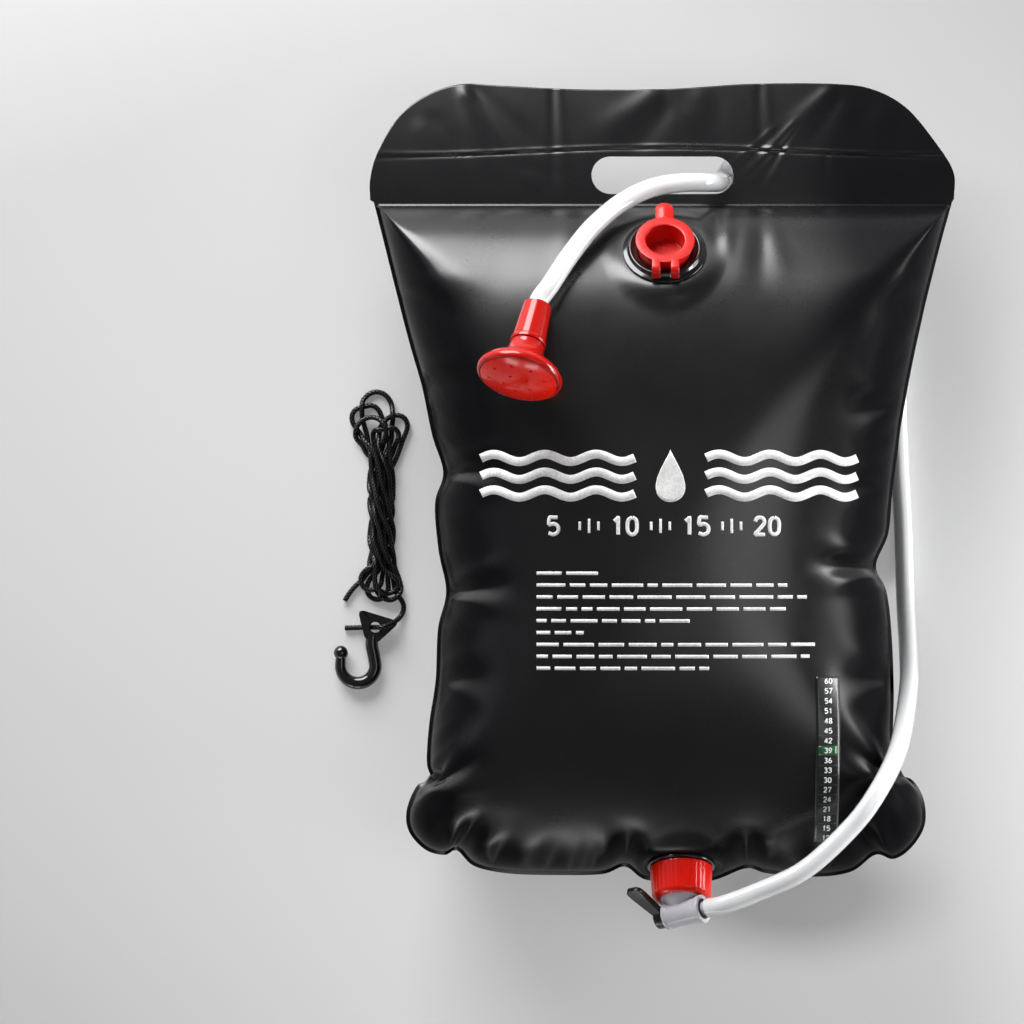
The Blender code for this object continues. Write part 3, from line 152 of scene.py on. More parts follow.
# Each painted shadow dipped out of the glow: its middle, its stretch in Y, how far it reaches and how deep
# it is.
PAINTED_SHADOW_DIPS = (((0.32, 0.46), 1, 0.5, 0.3), ((0.10, -0.262), 2.2, 0.14, 0.31), ((0.32, -0.38), 1, 0.4, 0.12),
              ((0.35, 0.05), 1, 0.75, 0.14))
floor_paint, tree, skin = new_material("pale_floor", [FLOOR_SHADE] * 3, 0.8)
floor_mesh = bpy.data.meshes.new("floor")
floor_corners = ((-1, -1), (1, -1), (1, 1), (-1, 1))
floor_mesh.from_pydata([(x * FLOOR_HALF, y * FLOOR_HALF, 0) for x, y in floor_corners], [], [(0, 1, 2, 3)])
floor_mesh.materials.append(floor_paint)
floor = bpy.data.objects.new("floor", floor_mesh)
scene.collection.objects.link(floor)
place = add_node(tree, "TexCoord").outputs["Object"]
# Painted shade: the floor's paint darkens towards its far right corner.
corner = add_node(tree, "VectorMath", place, PAINTED_SHADE_WAY, operation="DOT_PRODUCT")
feed(skin["Base Color"], eased(tree, corner, 0.20, 0.55, FLOOR_SHADE, CORNER_PAINTED_SHADE))
# Painted light: a glow for camera, glossy and transmission rays that slopes off to the right and the front.
squares = add_node(tree, "VectorMath", place, place, operation="MULTIPLY")
slope = add_node(tree, "VectorMath", place, FLOOR_SLOPE, operation="DOT_PRODUCT")
bow = add_node(tree, "VectorMath", squares, FLOOR_BOW, operation="DOT_PRODUCT")
painted_glow = add_node(tree, "MapRange", Value=add_node(tree, "Math", slope, bow, operation="ADD"),
                From_Min=GLOW_STARTS, From_Max=GLOW_STARTS + FLOOR_GLOW, To_Min=0.0, To_Max=FLOOR_GLOW)
# Painted shadows: round dips taken out of the glow, one under the foot of the bag.
for (x, y), stretch, reach, depth in PAINTED_SHADOW_DIPS:
    moved = add_node(tree, "Mapping", place, Scale=(1, stretch, 1), Location=(-x, -y * stretch, 0))
    away = add_node(tree, "VectorMath", moved, operation="LENGTH")
    painted_shadow = eased(tree, away, 0.0, reach, depth, 0.0)
    painted_glow = add_node(tree, "Math", painted_glow, painted_shadow, operation="SUBTRACT", use_clamp=True)
rays = add_node(tree, "LightPath").outputs
seen = add_node(tree, "Math", rays["Is Camera Ray"], rays["Is Transmission Ray"], operation="MAXIMUM")
seen = add_node(tree, "Math", seen, rays["Is Glossy Ray"], operation="MAXIMUM")
feed(skin["Emission Strength"], add_node(tree, "Math", painted_glow, seen, operation="MULTIPLY"))
feed(skin["Emission Color"], (1, 1, 1, 1))


# The pouch: two sheets of black PVC film, welded flat round the edge and blown out by the water.
# The weld pulls notches into the edge, and a crease runs in from each of them.
BAG_WIDTH = 420 * MM
POUCH_HEIGHT = 488 * MM
SEAM_HEIGHT = 78 * MM
FRONT_BULGE = 96 * MM
BACK_BULGE = 104 * MM
BULGE_POWER = 2.6
FILM = 0.6 * MM
WELD_WIDTH = 3 * MM
GAP = 0.3 * MM
FILLER_PLACE = np.array((0, 202.5, 135.0)) * MM
FILLER_TILT = np.radians(38)
OUTLET_PLACE = np.array((12.6, -234.0, 104.0)) * MM
OUTLET_LEAN = np.radians(66)

# The welded edge in shares of half the width and half the height, from the top right corner.
EDGE_TOP = ((0.990, 0.985), (-0.987, 0.985))
EDGE_REST = (
    (-0.987, 0.985), (-0.945, 0.84), (-0.904, 0.698), (-0.862, 0.56), (-0.822, 0.44), (-0.788, 0.30),
    (-0.750, 0.190), (-0.778, 0.10), (-0.766, -0.04), (-0.740, -0.160), (-0.768, -0.27), (-0.776, -0.42),
    (-0.798, -0.55), (-0.806, -0.665), (-0.788, -0.718), (-0.836, -0.728), (-0.874, -0.80), (-0.868, -0.865),
    (-0.812, -0.920), (-0.745, -0.936), (-0.703, -0.922), (-0.645, -0.968), (-0.53, -0.990), (-0.36, -0.995),
    (-0.205, -0.992), (-0.128, -0.970), (-0.06, -1.008), (0.06, -1.015), (0.175, -1.010), (0.286, -0.975),
    (0.36, -0.990), (0.52, -1.000), (0.645, -0.985), (0.728, -0.935), (0.790, -0.948), (0.850, -0.915),
    (0.896, -0.85), (0.894, -0.775), (0.855, -0.715), (0.795, -0.692), (0.788, -0.60), (0.791, -0.45),
    (0.783, -0.28), (0.766, -0.16), (0.730, -0.085), (0.772, 0.01), (0.786, 0.13), (0.804, 0.25),
    (0.818, 0.34), (0.850, 0.49), (0.882, 0.62), (0.906, 0.71), (0.95, 0.86), (0.990, 0.985),
)
TOP_COUNT = 260
REST_COUNT = 480
RING_COUNT = 60
PLAIN_SPREAD = 74 * MM
ROUNDING_POWER = 1.6
PUCKER_MM, UNEVEN_MM = 0.7, 0.35
CREASE_FADE, WAVE_FADE = 40, 60


def smooth_line(points, count):
    """count points evenly along a Catmull-Rom curve through open points: a cubic between each two."""
    points = np.asarray(points, float)
    ends = np.vstack([2 * points[0] - points[1], points, 2 * points[-1] - points[-2]])
    share = np.linspace(0, 1, 12, endpoint=False)[:, None, None]
    a, b, c, d = ends[:-3], ends[1:-2], ends[2:-1], ends[3:]
    fine = 0.5 * (2 * b + (c - a) * share + (2 * a - 5 * b + 4 * c - d) * share ** 2
                  + (3 * b - a - 3 * c + d) * share ** 3)
    fine = np.vstack([fine.transpose(1, 0, 2).reshape(-1, points.shape[1]), points[-1:]])
    run = np.concatenate([[0], np.cumsum(np.linalg.norm(np.diff(fine, axis=0), axis=1))])
    even = np.linspace(0, run[-1], count)
    return np.column_stack([np.interp(even, run, column) for column in fine.T])


def smoothstep(low, high, value):
    """0 below low, 1 above high, and a cubic without corners between them."""
    share = np.clip((value - low) / (high - low), 0, 1)
    return share * share * (3 - 2 * share)


def grid_part(grid, around=False, along=False, poles=()):
    """Points, faces and corner UVs of a (rows, columns, 3) grid: each cell is a face; around joins
    the last column to the first, along the last row to the first, poles names end rows to close."""
    grid = np.asarray(grid, float)
    rows, columns = grid.shape[:2]
    index = np.arange(rows * columns).reshape(rows, columns)
    uv = np.stack(np.meshgrid(np.arange(columns) / columns, np.arange(rows) / rows), -1)
    if around:
        index = np.hstack([index, index[:, :1]])
        uv = np.hstack([uv, uv[:, :1] + (1, 0)])
    if along:
        index = np.vstack([index, index[:1]])
        uv = np.vstack([uv, uv[:1] + (0, 1)])
    near, far = slice(None, -1), slice(1, None)
    corners = ((near, near), (near, far), (far, far), (far, near))
    faces = np.stack([index[c] for c in corners], -1).reshape(-1, 4).tolist()
    corner_uv = [np.stack([uv[c] for c in corners], -2).reshape(-1, 2)]
    points = grid.reshape(-1, 3)
    for pole in poles:
        ring = index[pole]
        apex = np.full(len(ring) - 1, len(points))
        points = np.vstack([points, grid[pole].mean(axis=0)])
        pair = (ring[1:], ring[:-1]) if pole == 0 else (ring[:-1], ring[1:])
        faces += np.column_stack([apex, *pair]).tolist()
        corner_uv.append(np.zeros((3 * len(apex), 2)))
    return points, faces, np.vstack(corner_uv)


def capped(grid):
    """A grid part that closes around, with a cap at either end."""
    return grid_part(grid, around=True, poles=(0, -1))


def at_height(line, height):
    """A plan line at one height."""
    return np.column_stack([line, np.full(len(line), height)])


def circle(radius, count):
    """Points round a circle of that radius, anticlockwise."""
    turn = np.linspace(0, 2 * np.pi, count, endpoint=False)
    return np.column_stack([np.cos(turn), np.sin(turn)]) * radius


def make_piece(name, parts, material, sharp=None, merge=None):
    """One object at the origin from grid parts, smooth but for edges sharper than sharp degrees."""
    points, faces, corner_uv, start = [], [], [], 0
    for part_points, part_faces, part_uv in parts:
        points.append(part_points)
        faces += [[start + i for i in face] for face in part_faces]
        corner_uv.append(part_uv)
        start += len(part_points)
    mesh = bpy.data.meshes.new(name)
    mesh.from_pydata(np.vstack(points), [], faces)
    layer = mesh.uv_layers.new(name="surface")
    layer.data.foreach_set("uv", np.vstack(corner_uv).ravel())
    if merge is not None:
        shape = bmesh.new()
        shape.from_mesh(mesh)
        bmesh.ops.remove_doubles(shape, verts=shape.verts, dist=merge)
        shape.to_mesh(mesh)
        shape.free()
    mesh.polygons.foreach_set("use_smooth", np.ones(len(mesh.polygons), bool))
    if sharp is not None:
        mesh.set_sharp_from_angle(angle=np.radians(sharp))
    mesh.materials.append(material)
    mesh.update()
    piece = bpy.data.objects.new(name, mesh)
    scene.collection.objects.link(piece)
    return piece


def turn_about_x(angle):
    """Rows are the x, y and z axes of a frame turned by angle about X."""
    return np.array([(1, 0, 0), (0, np.cos(angle), np.sin(angle)), (0, -np.sin(angle), np.cos(angle))])


filler_axes = turn_about_x(-FILLER_TILT)
outlet_axes = turn_about_x(OUTLET_LEAN)
# Each fitting on the front: its place and axes, how far round it the film lies flat, and its hole.
FITTINGS = ((FILLER_PLACE, filler_axes, 29.7 * MM, 22.3 * MM),
            (OUTLET_PLACE, outlet_axes, 24 * MM, 14.5 * MM))


def press_flat(points, place, axes, radius, offset, spread=0.55):
    """The film lies on a welded fitting's plane within its radius, and eases off it beyond."""
    local = (points - place) @ axes.T
    away = np.hypot(local[..., 0], local[..., 1])
    weight = 1 - smoothstep(radius, radius * (1 + spread), away)
    weight = np.where(local[..., 2] > -radius, weight, 0)
    local[..., 2] = local[..., 2] * (1 - weight) + offset * weight
    return local @ axes + place


def pouch_edge():
    """The welded edge, anticlockwise: the straight top, then a smooth line round the rest."""
    half = np.array((BAG_WIDTH / 2, POUCH_HEIGHT / 2))
    top = smooth_line(np.array(EDGE_TOP) * half, TOP_COUNT)
    rest = smooth_line(np.array(EDGE_REST) * half, REST_COUNT)
    return np.vstack([top, rest[1:-1]])


def inward(loop, width):
    """A closed loop moved in along its normal, the quarter turn of the line between neighbours."""
    ahead = np.roll(loop, -1, axis=0) - np.roll(loop, 1, axis=0)
    normal = np.column_stack([-ahead[:, 1], ahead[:, 0]])
    return loop + normal / np.linalg.norm(normal, axis=1)[:, None] * width


def rounded_loops(loop, spreads):
    """A closed loop blurred along itself by bell curves of those spreads, through its spectrum."""
    step = np.linalg.norm(np.roll(loop, -1, axis=0) - loop, axis=1).mean()
    waves = np.fft.fftfreq(len(loop))[None, :, None]
    keep = np.exp(-2 * (np.pi * waves * spreads / step) ** 2)
    return np.real(np.fft.ifft(np.fft.fft(loop, axis=0)[None] * keep, axis=1))


def bulge(share, height):
    """The film's rise off the seam plane: height times the root of 1 - share to the power."""
    return height * np.sqrt(np.maximum(0, 1 - share ** BULGE_POWER))


# Creases that run in from the notches: plan of the start, heading in degrees, length, depth, width.
CREASES_MM = (
    (-157, 47, 2, 46, 3.2, 5), (-155, -39, 8, 52, 3.4, 5), (-166, -175, 30, 46, 4.2, 6),
    (-147, -225, 58, 40, 4.0, 6), (-27, -237, 84, 36, 2.6, 6), (60, -238, 96, 36, 2.6, 6),
    (153, -228, 128, 42, 3.6, 6), (167, -169, 152, 50, 4.2, 6), (153, -21, 178, 54, 3.6, 5),
    (168, 95, 186, 44, 2.4, 6), (-176, 110, -4, 40, 2.0, 6), (-190, 172, -18, 60, 1.8, 8),
    (190, 176, 200, 58, 1.8, 8), (41, 240, 257, 46, 1.3, 4), (69, 242, 269, 70, 0.7, 5),
    (-120, -236, 76, 46, 2.0, 8), (112, -240, 102, 44, 2.0, 8), (-159, -100, 4, 40, 1.6, 6),
    (162, -100, 176, 44, 1.8, 6), (160, 40, 182, 40, 1.6, 6), (-60, 242, 282, 60, 0.6, 7),
)


def along_fold(x, y, start_x, start_y, heading):
    """How far points lie along and across a fold, in mm, from its start and its heading in degrees."""
    turn = np.radians(heading)
    dx, dy = x / MM - start_x, y / MM - start_y
    return dx * np.cos(turn) + dy * np.sin(turn), dy * np.cos(turn) - dx * np.sin(turn)


def crease_depth(x, y):
    """How far the film sinks: along each crease a bell-shaped valley that widens and fades inward,
    with a low shoulder on either side."""
    depth = np.zeros_like(x)
    for start_x, start_y, heading, length, deep, wide in CREASES_MM:
        along, across = along_fold(x, y, start_x, start_y, heading)
        spread = wide * (0.6 + 1.1 * np.clip(along / length, 0, 1.4))
        fade = smoothstep(-8, 6, along) * (1 - smoothstep(0.35, 1.15, along / length))
        valley = np.exp(-(across / spread) ** 2)
        shoulder = np.exp(-((np.abs(across) - 2.1 * spread) / spread) ** 2)
        depth += deep * fade * (valley - 0.45 * shoulder)
    return depth * MM


def film_waves(x, y, share, turn):
    """Small puckers that stand off the weld and die out inward, and the film's slow unevenness."""
    pucker = np.sin(turn * 61 + 2.1 * np.sin(turn * 9)) * np.sin(turn * 23 + 1.3)
    near = smoothstep(0.86, 0.97, share) * (1 - smoothstep(0.10, 0.20, y))
    slow = (np.sin(x * 31 + 1.7 * np.sin(y * 19)) * np.sin(y * 23 + 0.6)
            + 0.5 * np.sin(x * 57 - y * 41 + 0.8))
    return (PUCKER_MM * pucker * near + UNEVEN_MM * slow * (1 - near)) * MM


def film_pouch(side):
    """One sheet over the water: rings from the middle out to the weld, each a share of the weld's
    line, more rounded the further in it lies, at the bulge's height."""
    edge = pouch_edge()
    weld = inward(edge, WELD_WIDTH)
    share = np.sin(np.pi / 2 * np.linspace(1 / RING_COUNT, 1, RING_COUNT))[:, None]
    spreads = PLAIN_SPREAD * (1 - share[..., None] ** ROUNDING_POWER)
    plan = share[..., None] * rounded_loops(weld, spreads)
    seam = SEAM_HEIGHT + side * GAP / 2
    height = seam + side * bulge(share, FRONT_BULGE if side > 0 else BACK_BULGE)
    grid = np.dstack([plan, np.broadcast_to(height, plan.shape[:2])])
    x, y = grid[..., 0], grid[..., 1]
    turn = np.broadcast_to(np.linspace(0, 2 * np.pi, len(edge), endpoint=False), x.shape)
    sink = crease_depth(x, y) * (1 - share ** CREASE_FADE)
    sink -= film_waves(x, y, share, turn) * (1 - share ** WAVE_FADE)
    grid = grid - outward_normals(grid) * sink[..., None]
    grid[..., 2] = np.maximum(grid[..., 2], FILM)
    if side > 0:
        for place, axes, flat, _ in FITTINGS:
            grid = press_flat(grid, place, axes, flat, -GAP - FILM)
        grid[..., 2] = np.maximum(grid[..., 2], seam)
        grid[-1, :, 2] = seam
    rim = np.dstack([edge[None], np.full((1, len(edge)), seam)])
    return np.vstack([grid, rim])


def outward_normals(grid):
    """Unit normals of a grid closed around: the cross product of its two slopes, away from inside."""
    inward_step = np.gradient(grid, axis=0)
    around_step = (np.roll(grid, -1, axis=1) - np.roll(grid, 1, axis=1)) / 2
    normal = np.cross(inward_step, around_step)
    normal /= np.linalg.norm(normal, axis=2)[..., None] + 1e-12
    return normal * np.sign(grid[..., 2:] - SEAM_HEIGHT + 1e-9) * np.sign(normal[..., 2:] + 1e-9)


# The handle flap beyond the pouch: both sheets welded together along two lines, with a hand slot,
# and folds that fan out from the slot's corners where the weight hangs.
FLAP_HEIGHT = 86 * MM
FLAP_DROOP = 14 * MM
DROOP_POWER = 1.6
FLAP_ROWS = 90
FLAP_WELD_MM = 276
SLOT_LENGTH = 102 * MM
SLOT_WIDTH = 27 * MM
SLOT_ABOVE_WELD = 16 * MM
SLOT_CUT_HEIGHTS = (20 * MM, 140 * MM)
FLAP_EDGE = (
    (0.997, 0.03), (0.995, 0.26), (0.93, 0.52), (0.835, 0.80), (0.72, 0.955), (0.585, 1.0), (0.30, 1.0),
    (0.0, 0.955), (-0.30, 0.955), (-0.55, 0.985), (-0.68, 1.0), (-0.795, 0.92), (-0.90, 0.73),
    (-0.975, 0.42), (-1.0, 0.19), (-1.0, 0.02),
)
# Folds of the flap: start, heading in degrees, length, height and width in millimetres.
FLAP_FOLDS_MM = (
    (-146, 325, 286, 83, 0.8, 6), (-146, 325, 309, 104, 1.0, 6), (-79, 330, 270, 86, -0.6, 3),
    (-1, 322, 217, 66, 1.2, 9), (70, 330, 270, 88, -0.45, 3.4), (124, 325, 225, 57, 1.0, 6),
    (97, 301, 229, 62, 0.6, 2.4), (91, 288, 240, 46, -0.4, 2.0), (82, 296, 222, 50, 0.4, 2.0),
    (117, 278, 270, 36, -0.4, 3), (-178, 300, 300, 60, 0.6, 8), (160, 310, 250, 60, 0.6, 9),
    (30, 325, 250, 40, 0.5, 8), (-105, 262, 330, 40, 0.4, 5),
)


def flap_lift(x, y):
    """Height of the flap's folds: bell-shaped ridges, and the two weld lines pressed in."""
    lift = np.zeros_like(x)
    for start_x, start_y, heading, length, high, wide in FLAP_FOLDS_MM:
        along, across = along_fold(x, y, start_x, start_y, heading)
        spread = wide * (0.7 + 0.9 * np.clip(along / length, 0, 1.3))
        fade = smoothstep(-4, 10, along) * (1 - smoothstep(0.5, 1.1, along / length))
        ridge = np.exp(-(across / spread) ** 2)
        hollow = np.exp(-((across - 2 * spread) / spread) ** 2)
        lift += high * fade * (ridge - 0.6 * hollow)
    upper = FLAP_WELD_MM + 3.0 * np.cos(x / MM / 62)
    lift -= 0.6 * np.exp(-((y / MM - upper) / 0.9) ** 2)
    lift += 0.5 * np.exp(-((y / MM - upper - 2.2) / 1.3) ** 2)
    return lift * MM


def film_flap(side):
    """Rows from the top weld to the flap's curved edge, drooping towards the ground."""
    foot = pouch_edge()[:TOP_COUNT]
    outline = np.array(FLAP_EDGE) * (BAG_WIDTH / 2, FLAP_HEIGHT) + (0, foot[0, 1])
    outline = smooth_line(outline, TOP_COUNT)
    share = np.linspace(0, 1, FLAP_ROWS + 1)[:, None, None]
    plan = foot * (1 - share) + outline * share
    fall = np.clip((plan[..., 1] - POUCH_HEIGHT / 2) / FLAP_HEIGHT, 0, 1)
    lift = flap_lift(plan[..., 0], plan[..., 1]) * smoothstep(0, 0.12, share[..., 0])
    height = SEAM_HEIGHT - FLAP_DROOP * fall ** DROOP_POWER + side * GAP / 2 + lift
    return np.dstack([plan, height])


def slot_outline(length, width, count=16):
    """A slot with round ends, drawn once round."""
    turn = np.linspace(-np.pi / 2, np.pi / 2, count)
    arc = np.column_stack([np.cos(turn), np.sin(turn)]) * width / 2
    reach = np.array((length / 2 - width / 2, 0))
    return np.vstack([arc + reach, -arc - reach])


def apply_modifiers(piece):
    """The piece's mesh as its modifiers leave it."""
    graph = bpy.context.evaluated_depsgraph_get()
    finished = bpy.data.meshes.new_from_object(piece.evaluated_get(graph))
    piece.modifiers.clear()
    piece.data = finished


def cut_away(piece, parts):
    """Takes those closed parts out of a piece, after its other modifiers."""
    cutter = make_piece(piece.name + "_cuts", parts, piece.data.materials[0])
    cut = piece.modifiers.new("cut", "BOOLEAN")
    cut.object = cutter
    cut.solver = "EXACT"
    apply_modifiers(piece)
    bpy.data.objects.remove(cutter)


def film_sheet(name, side, material):
    """A finished sheet: pouch and flap in one film, given its thickness, with its openings cut."""
    pouch, flap = film_pouch(side), film_flap(side)
    turned_over = slice(None, None, -1) if side > 0 else slice(None)
    parts = [grid_part(pouch[:, turned_over], around=True, poles=(0,)), grid_part(flap[:, turned_over])]
    sheet = make_piece(name, parts, material, merge=MM / 100)
    wall = sheet.modifiers.new("film", "SOLIDIFY")
    wall.thickness = FILM
    wall.offset = 1
    outline = slot_outline(SLOT_LENGTH, SLOT_WIDTH) + (0, POUCH_HEIGHT / 2 + SLOT_ABOVE_WELD)
    cuts = [capped(np.stack([at_height(outline, height) for height in SLOT_CUT_HEIGHTS]))]
    for place, axes, _, radius in FITTINGS if side > 0 else ():
        plug = np.stack([at_height(circle(radius, 72), height * radius) for height in (-0.3, 0.3)])
        cuts.append(capped(plug @ axes + place))
    cut_away(sheet, cuts)
    return sheet


def noise(tree, **values):
    """A noise over the object's own coordinates."""
    return add_node(tree, "TexNoise", add_node(tree, "TexCoord").outputs["Object"], **values)


def two_tones(tree, share, one, other):
    """A colour that goes from one to the other with the share."""
    return add_node(tree, "Mix", data_type="RGBA", Factor=share, A=(*one, 1), B=(*other, 1))


# Painted shade: how much facing the foot dulls the gloss, and where on the right the gloss is cut.
FOOT_SHADE_SHARE = -0.7
SHEEN_CUT_FROM_TO = (0.085, 0.14)


def film_material():
    """Black PVC film: a fine pebble from the calender, faint scuffs in the gloss, and dust. Painted shade:
    its gloss is turned down where it faces to either side or to the foot, and over the right of the bag."""
    material, tree, skin = new_material("black_film", (0.006, 0.006, 0.007), 0.28)
    pebble = noise(tree, Scale=1400.0, Detail=3.0, Roughness=0.6)
    scuff = noise(tree, Scale=26.0, Detail=5.0, Roughness=0.62)
    haze = noise(tree, Scale=7.0, Detail=2.0)
    feed(skin["Roughness"], add_node(tree, "MapRange", scuff, From_Min=0.3, From_Max=0.75,
                                     To_Min=0.26, To_Max=0.31))
    feed(skin["Base Color"], two_tones(tree, haze, (0.0035, 0.0035, 0.0042), (0.007, 0.007, 0.008)))
    feed(skin["Normal"], add_node(tree, "Bump", Strength=0.03, Distance=0.0004, Height=pebble))
    place = add_node(tree, "TexCoord").outputs
    facing = add_node(tree, "SeparateXYZ", place["Normal"]).outputs
    # Painted shade: less gloss where the film faces to either side or to the foot, so those slopes show
    # darker.
    aside = add_node(tree, "Math", facing["X"], operation="ABSOLUTE")
    lower = add_node(tree, "Math", facing["Y"], FOOT_SHADE_SHARE, aside, operation="MULTIPLY_ADD")
    painted_side_shade = eased(tree, lower, 0.30, 0.70, 0.7, 0.03)
    spot = add_node(tree, "SeparateXYZ", place["Object"]).outputs
    # Painted shade: the gloss is cut over the right of the bag, so no sheen shows there.
    painted_sheen_cut = eased(tree, spot["X"], *SHEEN_CUT_FROM_TO, 1.0, 0.22)
    feed(skin["Specular IOR Level"], add_node(tree, "Math", painted_side_shade, painted_sheen_cut, operation="MULTIPLY"))
    return material


black_film = film_material()
bag_front = film_sheet("bag_front", 1, black_film)
bag_back = film_sheet("bag_back", -1, black_film)
for piece, node in ((bag_front, "front_sheet"), (bag_back, "back_sheet")):
    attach(piece, "bag")
    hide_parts(node)


# The print: white ink on the front. Two groups of waves with a drop between them, a plain litre
# scale, and a block of dashes. The digits are smooth strokes laid on the film.
INK = 0.12 * MM
INK_LIFT = 0.03 * MM
DRAWN_AT = 0.4
# The digits' points, in hundredths of their height.
DIGITS = {
    "0": ((30, 100), (8, 86), (2, 50), (8, 14), (30, 0), (52, 14), (58, 50), (52, 86), (30, 100)),
    "1": ((10, 78), (26, 90), (34, 100), (34, 60), (34, 30), (34, 0)),
    "2": ((3, 76), (12, 94), (34, 100), (54, 88), (54, 64), (30, 34), (2, 2), (30, 0), (60, 0)),
    "3": ((3, 88), (25, 100), (50, 91), (53, 70), (28, 54), (55, 40), (56, 14), (30, 0), (2, 10)),
    "4": ((44, 0), (44, 50), (44, 98), (22, 64), (0, 30), (30, 28), (62, 28)),
    "5": ((55, 100), (30, 100), (8, 99), (5, 58), (32, 63), (57, 46), (56, 15), (30, 0), (2, 9)),
    "6": ((50, 96), (20, 84), (4, 50), (5, 16), (30, 0), (55, 14), (56, 42), (32, 57), (6, 40)),
    "7": ((0, 100), (30, 100), (60, 99), (42, 55), (24, 0)),
    "8": ((30, 54), (8, 72), (12, 93), (30, 100), (48, 93), (52, 72), (30, 54), (4, 30), (9, 7),
          (30, 0), (51, 7), (56, 30), (30, 54)),
    "9": ((10, 4), (40, 16), (56, 50), (55, 84), (30, 100), (5, 86), (4, 58), (28, 43), (54, 60)),
}
DIGIT_PITCH = 0.86


def stroke(points, width, count):
    """A flat ribbon along a smooth line, three points across; its faces look up."""
    line = smooth_line(points, count)
    ahead = np.gradient(line, axis=0)
    right = np.column_stack([ahead[:, 1], -ahead[:, 0]]) / np.linalg.norm(ahead, axis=1)[:, None]
    across = np.array((-0.5, 0, 0.5))[None, :, None] * width
    flat = line[:, None] + right[:, None] * across
    return grid_part(np.dstack([flat, np.full(flat.shape[:2], DRAWN_AT)]))


def number(value, middle, height, weight):
    """The digits of a plain number as strokes, its middle at that point."""
    text = str(value)
    width = height * DIGIT_PITCH * (len(text) - 1) + height * 0.6
    corner = np.array(middle) - (width / 2, height / 2)
    corners = [corner + (k * height * DIGIT_PITCH, 0) for k in range(len(text))]
    return [stroke(np.array(DIGITS[digit]) / 100 * height + corner, weight, 40)
            for digit, corner in zip(text, corners)]


def drop(middle, height):
    """A water drop: across is the sine times the square of the half angle's cosine, along the cosine."""
    turn = np.linspace(0, 2 * np.pi, 48, endpoint=False)[::-1]
    edge = np.column_stack([np.sin(turn) * np.sin(turn / 2) ** 1.5 * 0.8, np.cos(turn)]) * height / 2
    share = np.linspace(0.1, 1, 8)[:, None, None]
    flat = edge * share + middle
    return grid_part(np.dstack([flat, np.full(flat.shape[:2], DRAWN_AT)]), around=True, poles=(0,))


def laid(name, parts, material, lift, thickness):
    """Flat parts dropped onto the front film, at that height over it, and given their thickness."""
    piece = make_piece(name, parts, material)
    fall = piece.modifiers.new("fall", "SHRINKWRAP")
    fall.target = bag_front
    fall.wrap_method = "PROJECT"
    fall.wrap_mode = "ABOVE_SURFACE"
    fall.use_project_x = fall.use_project_y = fall.use_positive_direction = False
    fall.use_project_z = fall.use_negative_direction = True
    fall.offset = lift
    body = piece.modifiers.new("body", "SOLIDIFY")
    body.thickness = thickness
    body.offset = 1
    apply_modifiers(piece)
    return piece


def printed_ink(name, colour):
    """Screen ink on film: matt, a little thin and speckled where the weave of the screen held back."""
    material, tree, skin = new_material(name, colour, 0.5)
    speckle = noise(tree, Scale=520.0, Detail=3.0, Roughness=0.7)
    patch = noise(tree, Scale=34.0, Detail=3.0)
    cover = add_node(tree, "Math", speckle, patch, operation="MULTIPLY")
    thin = add_node(tree, "MapRange", cover, From_Min=0.12, From_Max=0.3, To_Min=0.0, To_Max=1.0)
    feed(skin["Base Color"], two_tones(tree, thin, [c * 0.7 for c in colour], colour))
    return material


white_ink = printed_ink("white_ink", (0.90, 0.90, 0.89))
# The waves, the scale and the dashes in millimetres: where they lie, their pitch and their weight.
WAVE_SPANS = ((-130, -22), (28, 136))
WAVE_ROWS = (31, 43.5, 56)
WAVE_LENGTH, WAVE_RISE, WAVE_WEIGHT = 36, 2.6, 6.2
DROP_MIDDLE, DROP_HEIGHT = (3, 43.5), 37
SCALE_LITRES = (5, 10, 15, 20)
SCALE_Y, SCALE_STEP, SCALE_MIDDLE = 8.2, 50, -4
SCALE_HEIGHT, SCALE_WEIGHT = 12, 2.6
# The ticks between two numbers: how far aside each stands, and half its height.
TICKS = ((-6.5, 3), (0, 5), (6.5, 3))
TICK_WEIGHT = 1.8
LINE_LENGTHS = (46, 176, 190, 180, 113, 33, 196, 192, 121)
LINE_TOP, LINE_PITCH, LINE_LEFT, LINE_WEIGHT = -25, 8.35, -90.8, 2.4
DASH_LEAST, DASH_SHORT, DASH_LONG, DASH_GAP = 4, 7, 24, 3.2
print_parts = [drop(np.array(DROP_MIDDLE) * MM, DROP_HEIGHT * MM)]
for west, east in WAVE_SPANS:
    across = np.linspace(west, east, 40)
    wave = WAVE_RISE * np.sin(2 * np.pi * (across - west) / WAVE_LENGTH)
    for row in WAVE_ROWS:
        print_parts.append(stroke(np.column_stack([across, row + wave]) * MM, WAVE_WEIGHT * MM, 90))
for k, litres in enumerate(SCALE_LITRES):
    spot = SCALE_MIDDLE + (k - (len(SCALE_LITRES) - 1) / 2) * SCALE_STEP
    print_parts += number(litres, np.array((spot, SCALE_Y)) * MM, SCALE_HEIGHT * MM, SCALE_WEIGHT * MM)
    for aside, half in TICKS if litres != SCALE_LITRES[-1] else ():
        x = spot + SCALE_STEP / 2 + aside
        ends = np.array(((x, SCALE_Y - half), (x, SCALE_Y + half)))
        print_parts.append(stroke(ends * MM, TICK_WEIGHT * MM, 6))
chance = np.random.default_rng(7)
for k, length in enumerate(LINE_LENGTHS):
    x, stop, y = LINE_LEFT, LINE_LEFT + length, LINE_TOP - k * LINE_PITCH
    while x < stop - DASH_LEAST:
        dash = min(chance.uniform(DASH_SHORT, DASH_LONG), stop - x)
        print_parts.append(stroke(np.array(((x, y), (x + dash, y))) * MM, LINE_WEIGHT * MM, 12))
        x += dash + DASH_GAP
print_ink = laid("print_ink", print_parts, white_ink, INK_LIFT, INK)


